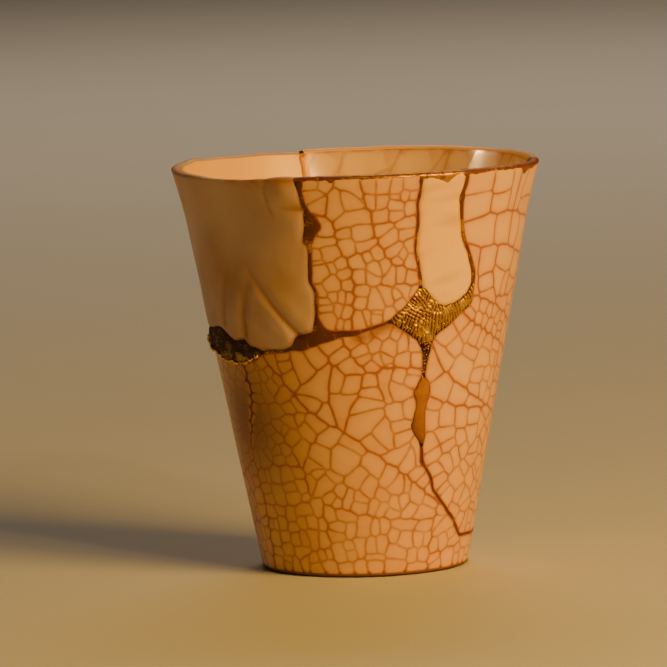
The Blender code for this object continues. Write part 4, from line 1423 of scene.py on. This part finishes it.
def drop_skin(flat, edge, ring):
    _, height = rolled(flat)
    share = (height.max() - height) / (height.max() - height.min())
    lumps = uneven_by(flat, 4.0, DROP_LUMP_SIZE)
    tone = np.clip(share * DROP_DARKENING - DROP_PALE_TOP + DROP_LUMP_TONE * lumps, 0, 1)
    return DROP_LUMP * lumps, tone


fill("ochre_drop_fill", DROP_SPACING, drop_skin, ochre_urushi_drop, "_glossy")

# The gilded lip
# From the front seam round to the right the worn lip is sealed with lacquer and gold, thick where a chip over
# the finger patch was filled, and again by the right edge. It thins out to nothing at both ends.
LIP_FROM = -21.0
LIP_TO = 92.0
LIP_STEP = 0.5
LIP_FADE = 5.0
LIP_THICKNESS = 0.12
LIP_SUNK = 0.4
LIP_ACROSS = 14
# The band's section from outside to inside: the share of its outer face, and where its inner face starts
LIP_OUTSIDE = 0.3
LIP_INSIDE_FROM = 0.75
# How far the band reaches down at least, and how it wanders: how far in millimetres and over how many degrees
LIP_REACH = 0.12
LIP_INNER_REACH = 0.1
LIP_WANDER = (0.3, 2.6)
LIP_TREMBLE = (0.2, 0.9)
LIP_INNER_WANDER = 0.25
LIP_INNER_DIP = 0.2
LIP_END_REACH = 0.3
LIP_SHOULDER = 0.4
LIP_SWELL = (1.1, 0.02)
LIP_LUMP = 0.1
LIP_LUMP_DEGREES = 1.1
LIP_LUMPS_ACROSS = 5
LIP_DIP_SWELL = 0.1
LIP_SWELL_BELOW = 0.45
LIP_EDGE_DROP = 0.05
# How thin the band stays at the cup's sides and in front, where the cup is widest, and how soon it thickens
LIP_AT_SIDES = (0.35, 6)
LIP_IN_FRONT = (0.25, 40)
# What the finish reads as thickness: so much of how proud the band is, and a hump over its outer part
LIP_PROUD_COUNTS = 0.6
LIP_HUMP = 0.25
LIP_HUMP_SHARE = 0.62
# Degrees round the cup where the band reaches further down outside, by how much and over how many degrees
LIP_DIPS = [(-17.8, 0.7, 1.6), (-7.6, 0.9, 1.0), (29.6, 1.6, 2.4), (25.5, 0.7, 3.2), (21.5, 0.3, 1.2),
            (36.5, 0.6, 1.2), (40.5, 0.35, 2.2), (66.5, 1.6, 2.2), (72.0, 0.7, 4.0)]
# How much gold is left elsewhere and how much that counts, then degrees, breadth and how much is left there,
# from 0 for bare dark lacquer to 1
LIP_GOLD_ELSEWHERE = (0.4, 0.02)
LIP_GOLD = [(-17.8, 2.5, 0.0), (-8, 2.5, 0.1), (9.5, 5, 0.75), (16.5, 3, 1.0), (28, 6, 0.85), (40, 3.5, 0.1),
            (50, 5, 0.45), (68, 8, 0.15)]


def lip_section(height, share):
    """A place across the lip, from outside at share 0 over the top to inside at 1, and the way it faces."""
    outside, inside = outer_radius(LIP_START), inner_radius(LIP_START)
    bend = np.clip((share - LIP_OUTSIDE) / (LIP_INSIDE_FROM - LIP_OUTSIDE), 0, 1) * math.pi
    radius = (outside + inside) / 2 + (outside - inside) / 2 * np.cos(bend)
    facing = np.stack([np.cos(bend), np.sin(bend)], axis=-1)
    level = np.where((bend <= 0) | (bend >= math.pi), height, LIP_START + LIP_RISE * np.sin(bend))
    return radius, level, facing


def lip_gold(degree):
    """How much gold is left there, from what is given for the places about it."""
    near = [(math.exp(-(((degree - at) / wide) ** 2)), left) for at, wide, left in LIP_GOLD]
    elsewhere, weight = LIP_GOLD_ELSEWHERE
    left = sum(w * g for w, g in near) + weight * elsewhere
    return left / (sum(w for w, _ in near) + weight)


def build_lip():
    degrees = np.arange(LIP_FROM, LIP_TO + LIP_STEP / 2, LIP_STEP)
    shares = np.linspace(0, 1, LIP_ACROSS)
    outer_half = shares < 0.5
    outer_way = np.clip(1 - shares / LIP_OUTSIDE, 0, 1)
    inner_way = np.clip((shares - LIP_INSIDE_FROM) / (1 - LIP_INSIDE_FROM), 0, 1)
    swell = np.sin(math.pi * np.clip(shares * LIP_SWELL[0] - LIP_SWELL[1], 0, 1)) ** LIP_SHOULDER
    hump_across = LIP_HUMP * np.sin(math.pi * np.clip(shares / LIP_HUMP_SHARE, 0, 1))
    points, thickness, gold = [], [], []
    for sunk in (False, True):
        for degree in degrees:
            wander = noise.noise(Vector((degree / LIP_WANDER[1], 0.3, 2.0)))
            tremble = noise.noise(Vector((degree / LIP_TREMBLE[1], 5.3, 2.0)))
            fade = min(1.0, (degree - LIP_FROM) / LIP_FADE, (LIP_TO - degree) / LIP_FADE)
            short = LIP_END_REACH + (1 - LIP_END_REACH) * fade
            dip = sum(deep * math.exp(-(((degree - at) / wide) ** 2)) for at, deep, wide in LIP_DIPS)
            outside = (LIP_REACH + dip + LIP_WANDER[0] * wander + LIP_TREMBLE[0] * tremble) * short
            inside = (LIP_INNER_REACH + LIP_INNER_DIP * dip + LIP_INNER_WANDER * wander) * short
            below = np.where(outer_half, outside * outer_way, inside * inner_way)
            radius, height, facing = lip_section(LIP_START - below, shares)
            radius = radius + np.where(outer_half, outer_radius(LIP_START - below) - outer_radius(LIP_START),
                                       inner_radius(LIP_START - below) - inner_radius(LIP_START))
            lumps = np.array([noise.noise(Vector((degree / LIP_LUMP_DEGREES, share * LIP_LUMPS_ACROSS, 9.0)))
                              for share in shares])
            proud = LIP_THICKNESS + LIP_DIP_SWELL * dip * (shares < LIP_SWELL_BELOW) + LIP_LUMP * lumps
            proud = fade * swell * proud - LIP_EDGE_DROP
            turn = math.radians(degree)
            room = min(1.0, LIP_AT_SIDES[0] + LIP_AT_SIDES[1] * (1 - abs(math.sin(turn))),
                       LIP_IN_FRONT[0] + LIP_IN_FRONT[1] * (1 - math.cos(turn)))
            off = -LIP_SUNK * np.ones(LIP_ACROSS) if sunk else np.minimum(proud, LIP_THICKNESS * room)
            angle = np.full(LIP_ACROSS, turn)
            points += list(in_space(angle, radius + facing[:, 0] * off, height + facing[:, 1] * off))
            thickness += list(LIP_PROUD_COUNTS * proud + hump_across)
            gold += [lip_gold(degree)] * LIP_ACROSS
    rows, half = len(degrees), len(degrees) * LIP_ACROSS
    faces = []
    for row in range(rows - 1):
        for i in range(LIP_ACROSS - 1):
            corner = row * LIP_ACROSS + i
            faces.append((corner, corner + LIP_ACROSS, corner + LIP_ACROSS + 1, corner + 1))
            faces.append(tuple(half + k for k in reversed(faces[-1])))
        for i in (0, LIP_ACROSS - 1):
            corner = row * LIP_ACROSS + i
            faces.append((corner, corner + LIP_ACROSS, half + corner + LIP_ACROSS, half + corner))
    for row in (0, rows - 1):
        for i in range(LIP_ACROSS - 1):
            corner = row * LIP_ACROSS + i
            faces.append((corner, corner + 1, half + corner + 1, half + corner))
    values = {"crack": thickness, "tone": gold}
    finished_piece("lip_gilding", points, faces, values, worn_gilt_lacquer, [])


# Handled for years: the lacquer shows olive brown, with flecks of gold left, and a dark line at its lower edge
worn_gilt_lacquer = lacquer_with_gold(
    "worn_gilt_lacquer", patch_size=1.6, patch_detail=3.0, grain_size=0.5, graininess=0.7, gilding=0.45,
    gold_between=(1.08, 1.3), most_gold=0.9, darker="5E2A06", lighter="8C4E10", edge_between=(0.02, 0.16),
    edge_strength=0.9, edge_colour="4A1C04", gold_colour="D0983C", smoothest=0.25, gold_rough=None, relief=0.15)
build_lip()

# The gold beads and grains
# Beads of gold that gathered along the lower edges of the fills, and grains caught in the star's dark stem.
# They were set in the lacquer while it was wet, so each sits partly sunk.
BEAD_EVERY = 0.75
BEAD_SIZES = (0.45, 1.25)
BEAD_SHIFT = 0.22
CORNER_BEAD = 0.5
STAR_BEAD = 0.16
GRAIN_SIZE = 0.13
GRAINS_PER_MM2 = 5.0
# Which part of each fill's edge carries beads: between which degrees, and below which height in millimetres.
# That height rises a little with each degree, and more steeply at the left: from where, how fast and how far.
CORNER_BEADS_BETWEEN = (-100, -43)
CORNER_BEADS_BELOW = 47.6
CORNER_BEADS_LEVEL_AT = -72
CORNER_BEADS_RISE = 0.03
CORNER_BEADS_RISE_LEFT = (-68, 0.25, 12)
STAR_BEADS_BETWEEN = (9, 47)
STAR_BEADS_ABOVE = 49.4
STAR_BEADS_BELOW = 54.2
STAR_BEADS_RISE = 0.10
# The grains lie on the stem's face: how far round from its middle, below what height and how near the face
STEM_HALF = 3.2
STEM_GRAINS_BELOW = 51.5
STEM_FACE_DEPTH = 0.5


def bead_tree():
    """A node group that strings beads of uneven size along a line, or scatters grains over faces."""
    tree = bpy.data.node_groups.new("gold_beads", "GeometryNodeTree")
    sockets = tree.interface
    sockets.new_socket("Geometry", in_out="INPUT", socket_type="NodeSocketGeometry")
    for label, kind in (("Spacing", "Float"), ("Radius", "Float"), ("Density", "Float"), ("Scatter", "Bool"),
                        ("Material", "Material")):
        sockets.new_socket(label, in_out="INPUT", socket_type="NodeSocket" + kind)
    sockets.new_socket("Geometry", in_out="OUTPUT", socket_type="NodeSocketGeometry")
    given = tree.nodes.new("NodeGroupInput")
    curve = add_node(tree, "GeometryNodeMeshToCurve", Mesh=given.outputs["Geometry"])
    along = add_node(tree, "GeometryNodeCurveToPoints", {"mode": "LENGTH"}, Curve=curve.outputs[0],
                     Length=given.outputs["Spacing"])
    over = add_node(tree, "GeometryNodeDistributePointsOnFaces", Mesh=given.outputs["Geometry"],
                    Density=given.outputs["Density"], Seed=7)
    places = add_node(tree, "GeometryNodeSwitch", {"input_type": "GEOMETRY"}, Switch=given.outputs["Scatter"],
                      _1=along.outputs[0], _2=over.outputs[0])
    bead = add_node(tree, "GeometryNodeMeshIcoSphere", Radius=given.outputs["Radius"], Subdivisions=2)
    size = add_node(tree, "FunctionNodeRandomValue", {"data_type": "FLOAT"}, _2=BEAD_SIZES[0],
                    _3=BEAD_SIZES[1],
                    Seed=3)
    placed = add_node(tree, "GeometryNodeInstanceOnPoints", Points=places.outputs[0],
                      Instance=bead.outputs[0],
                      Scale=size.outputs[1])
    shift = add_node(tree, "FunctionNodeRandomValue", {"data_type": "FLOAT_VECTOR"},
                     _0=(-BEAD_SHIFT * MM,) * 3, _1=(BEAD_SHIFT * MM,) * 3, Seed=5)
    moved = add_node(tree, "GeometryNodeTranslateInstances", Instances=placed.outputs[0],
                     Translation=shift.outputs[0])
    whole = add_node(tree, "GeometryNodeRealizeInstances", Geometry=moved.outputs[0])
    finish = add_node(tree, "GeometryNodeSetMaterial", Geometry=whole.outputs[0],
                      Material=given.outputs["Material"])
    out = tree.nodes.new("NodeGroupOutput")
    tree.links.new(finish.outputs[0], out.inputs[0])
    return tree


gold_bead_tree = bead_tree()


def beads(name, points, edges, faces, **inputs):
    """Runs the bead tree on a line or on faces, and keeps the result as a plain mesh."""
    mesh = bpy.data.meshes.new(name + "_route")
    mesh.from_pydata([tuple(p) for p in points], edges, faces)
    route = bpy.data.objects.new(name + "_route", mesh)
    bpy.context.scene.collection.objects.link(route)
    modifier = route.modifiers.new("beads", "NODES")
    modifier.node_group = gold_bead_tree
    for socket in gold_bead_tree.interface.items_tree:
        if socket.in_out == "INPUT" and socket.name in inputs:
            modifier[socket.identifier] = inputs[socket.name]
    graph = bpy.context.evaluated_depsgraph_get()
    solid = bpy.data.meshes.new_from_object(route.evaluated_get(graph), depsgraph=graph)
    bpy.data.objects.remove(route, do_unlink=True)
    solid.name = name
    solid.shade_smooth()
    piece = bpy.data.objects.new(name, solid)
    bpy.context.scene.collection.objects.link(piece)
    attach(piece, "root")


def lower_edge(node, inset, rise, keep):
    """A line along a fill's lower edge, just inside it and at the height of its face."""
    ring, _ = spaced(*outline_of(node), GOLD_STEP)
    ring = grown(ring, np.zeros(len(ring), dtype=bool), -inset, GOLD_RAGGED, GOLD_RAGGED_LENGTH, softer=4)
    angle, height = rolled(ring)
    chosen = [i for i in range(len(ring)) if keep(math.degrees(angle[i]), height[i])]
    start = next((k for k, i in enumerate(chosen) if i != chosen[k - 1] + 1), 0)
    chosen = chosen[start:] + chosen[:start]
    angle, height = angle[chosen], height[chosen]
    return in_space(angle, outer_radius(height) + rise, height)


def burnished_gold():
    """Beads rubbed bright by handling: pale warm metal with a few dull spots."""
    material, tree, shader = new_material("burnished_gold_bead", Metallic=0.95)
    place = add_node(tree, "ShaderNodeTexCoord").outputs["Object"]
    spots = add_node(tree, "ShaderNodeTexNoise", Vector=place,
                     Scale=1 / (0.6 * MM), Detail=2.0).outputs["Fac"]
    colour = add_node(tree, "ShaderNodeMix", {"data_type": "RGBA"}, _0=spots,
                      _6=linear("FFD27A"), _7=linear("B87A2A"))
    tree.links.new(colour.outputs[2], shader.inputs["Base Color"])
    rough = add_node(tree, "ShaderNodeMapRange", Value=spots, To_Min=0.08, To_Max=0.24).outputs[0]
    tree.links.new(rough, shader.inputs["Roughness"])
    return material


gold_bead_metal = burnished_gold()


def by_lower_corner(degrees, height):
    """The corner fill's lower edge, from the cup's left side to the fill's point."""
    first, last = CORNER_BEADS_BETWEEN
    left_of, steep, furthest = CORNER_BEADS_RISE_LEFT
    to_the_left = steep * min(furthest, left_of - degrees)
    level = CORNER_BEADS_BELOW + max(to_the_left, CORNER_BEADS_RISE * (degrees - CORNER_BEADS_LEVEL_AT))
    return first < degrees < last and height < level


def by_lower_star(degrees, height):
    """The star's lower edge on both sides of its stem."""
    first, last = STAR_BEADS_BETWEEN
    level = STAR_BEADS_BELOW + STAR_BEADS_RISE * abs(degrees - STAR_HEART[0])
    return first < degrees < last and STAR_BEADS_ABOVE < height < level


def string_of_beads(name, node, inset, rise, keep, size, gap):
    """Beads along a fill's lower edge, with none strung across the places that are left out."""
    line = lower_edge(node, inset, rise, keep)
    steps = np.linalg.norm(np.diff(line, axis=0), axis=1)
    links = [(i, i + 1) for i, step in enumerate(steps) if step < 3 * GOLD_STEP * MM]
    beads(name, line, links, [], Spacing=gap * MM, Radius=size * MM, Scatter=False, Density=0.0,
          Material=gold_bead_metal)


string_of_beads("corner_beads", "gold_corner_fill", inset=0.3, rise=0.6, keep=by_lower_corner,
                size=CORNER_BEAD, gap=1.6 * BEAD_EVERY)
string_of_beads("star_beads", "gold_star_fill", inset=1.05, rise=0.4, keep=by_lower_star,
                size=STAR_BEAD, gap=0.6 * BEAD_EVERY)


def build_stem_grains():
    """Grains over the star's stem and the lower middle of its body."""
    skin = bpy.data.objects["gold_star_fill_wrinkled"].data
    points = [v.co.copy() for v in skin.vertices]
    faces = []
    for face in skin.polygons:
        x, y, z = face.center
        from_middle = abs(math.degrees(math.atan2(x, -y)) - STAR_HEART[0])
        outside = math.hypot(x, y) / MM > outer_radius(z / MM) - STEM_FACE_DEPTH
        if outside and from_middle < STEM_HALF and z / MM < STEM_GRAINS_BELOW:
            faces.append(tuple(face.vertices))
    beads("stem_grains", points, [], faces, Spacing=MM, Radius=GRAIN_SIZE * MM, Scatter=True,
          Density=GRAINS_PER_MM2 / MM**2, Material=gold_bead_metal)


build_stem_grains()
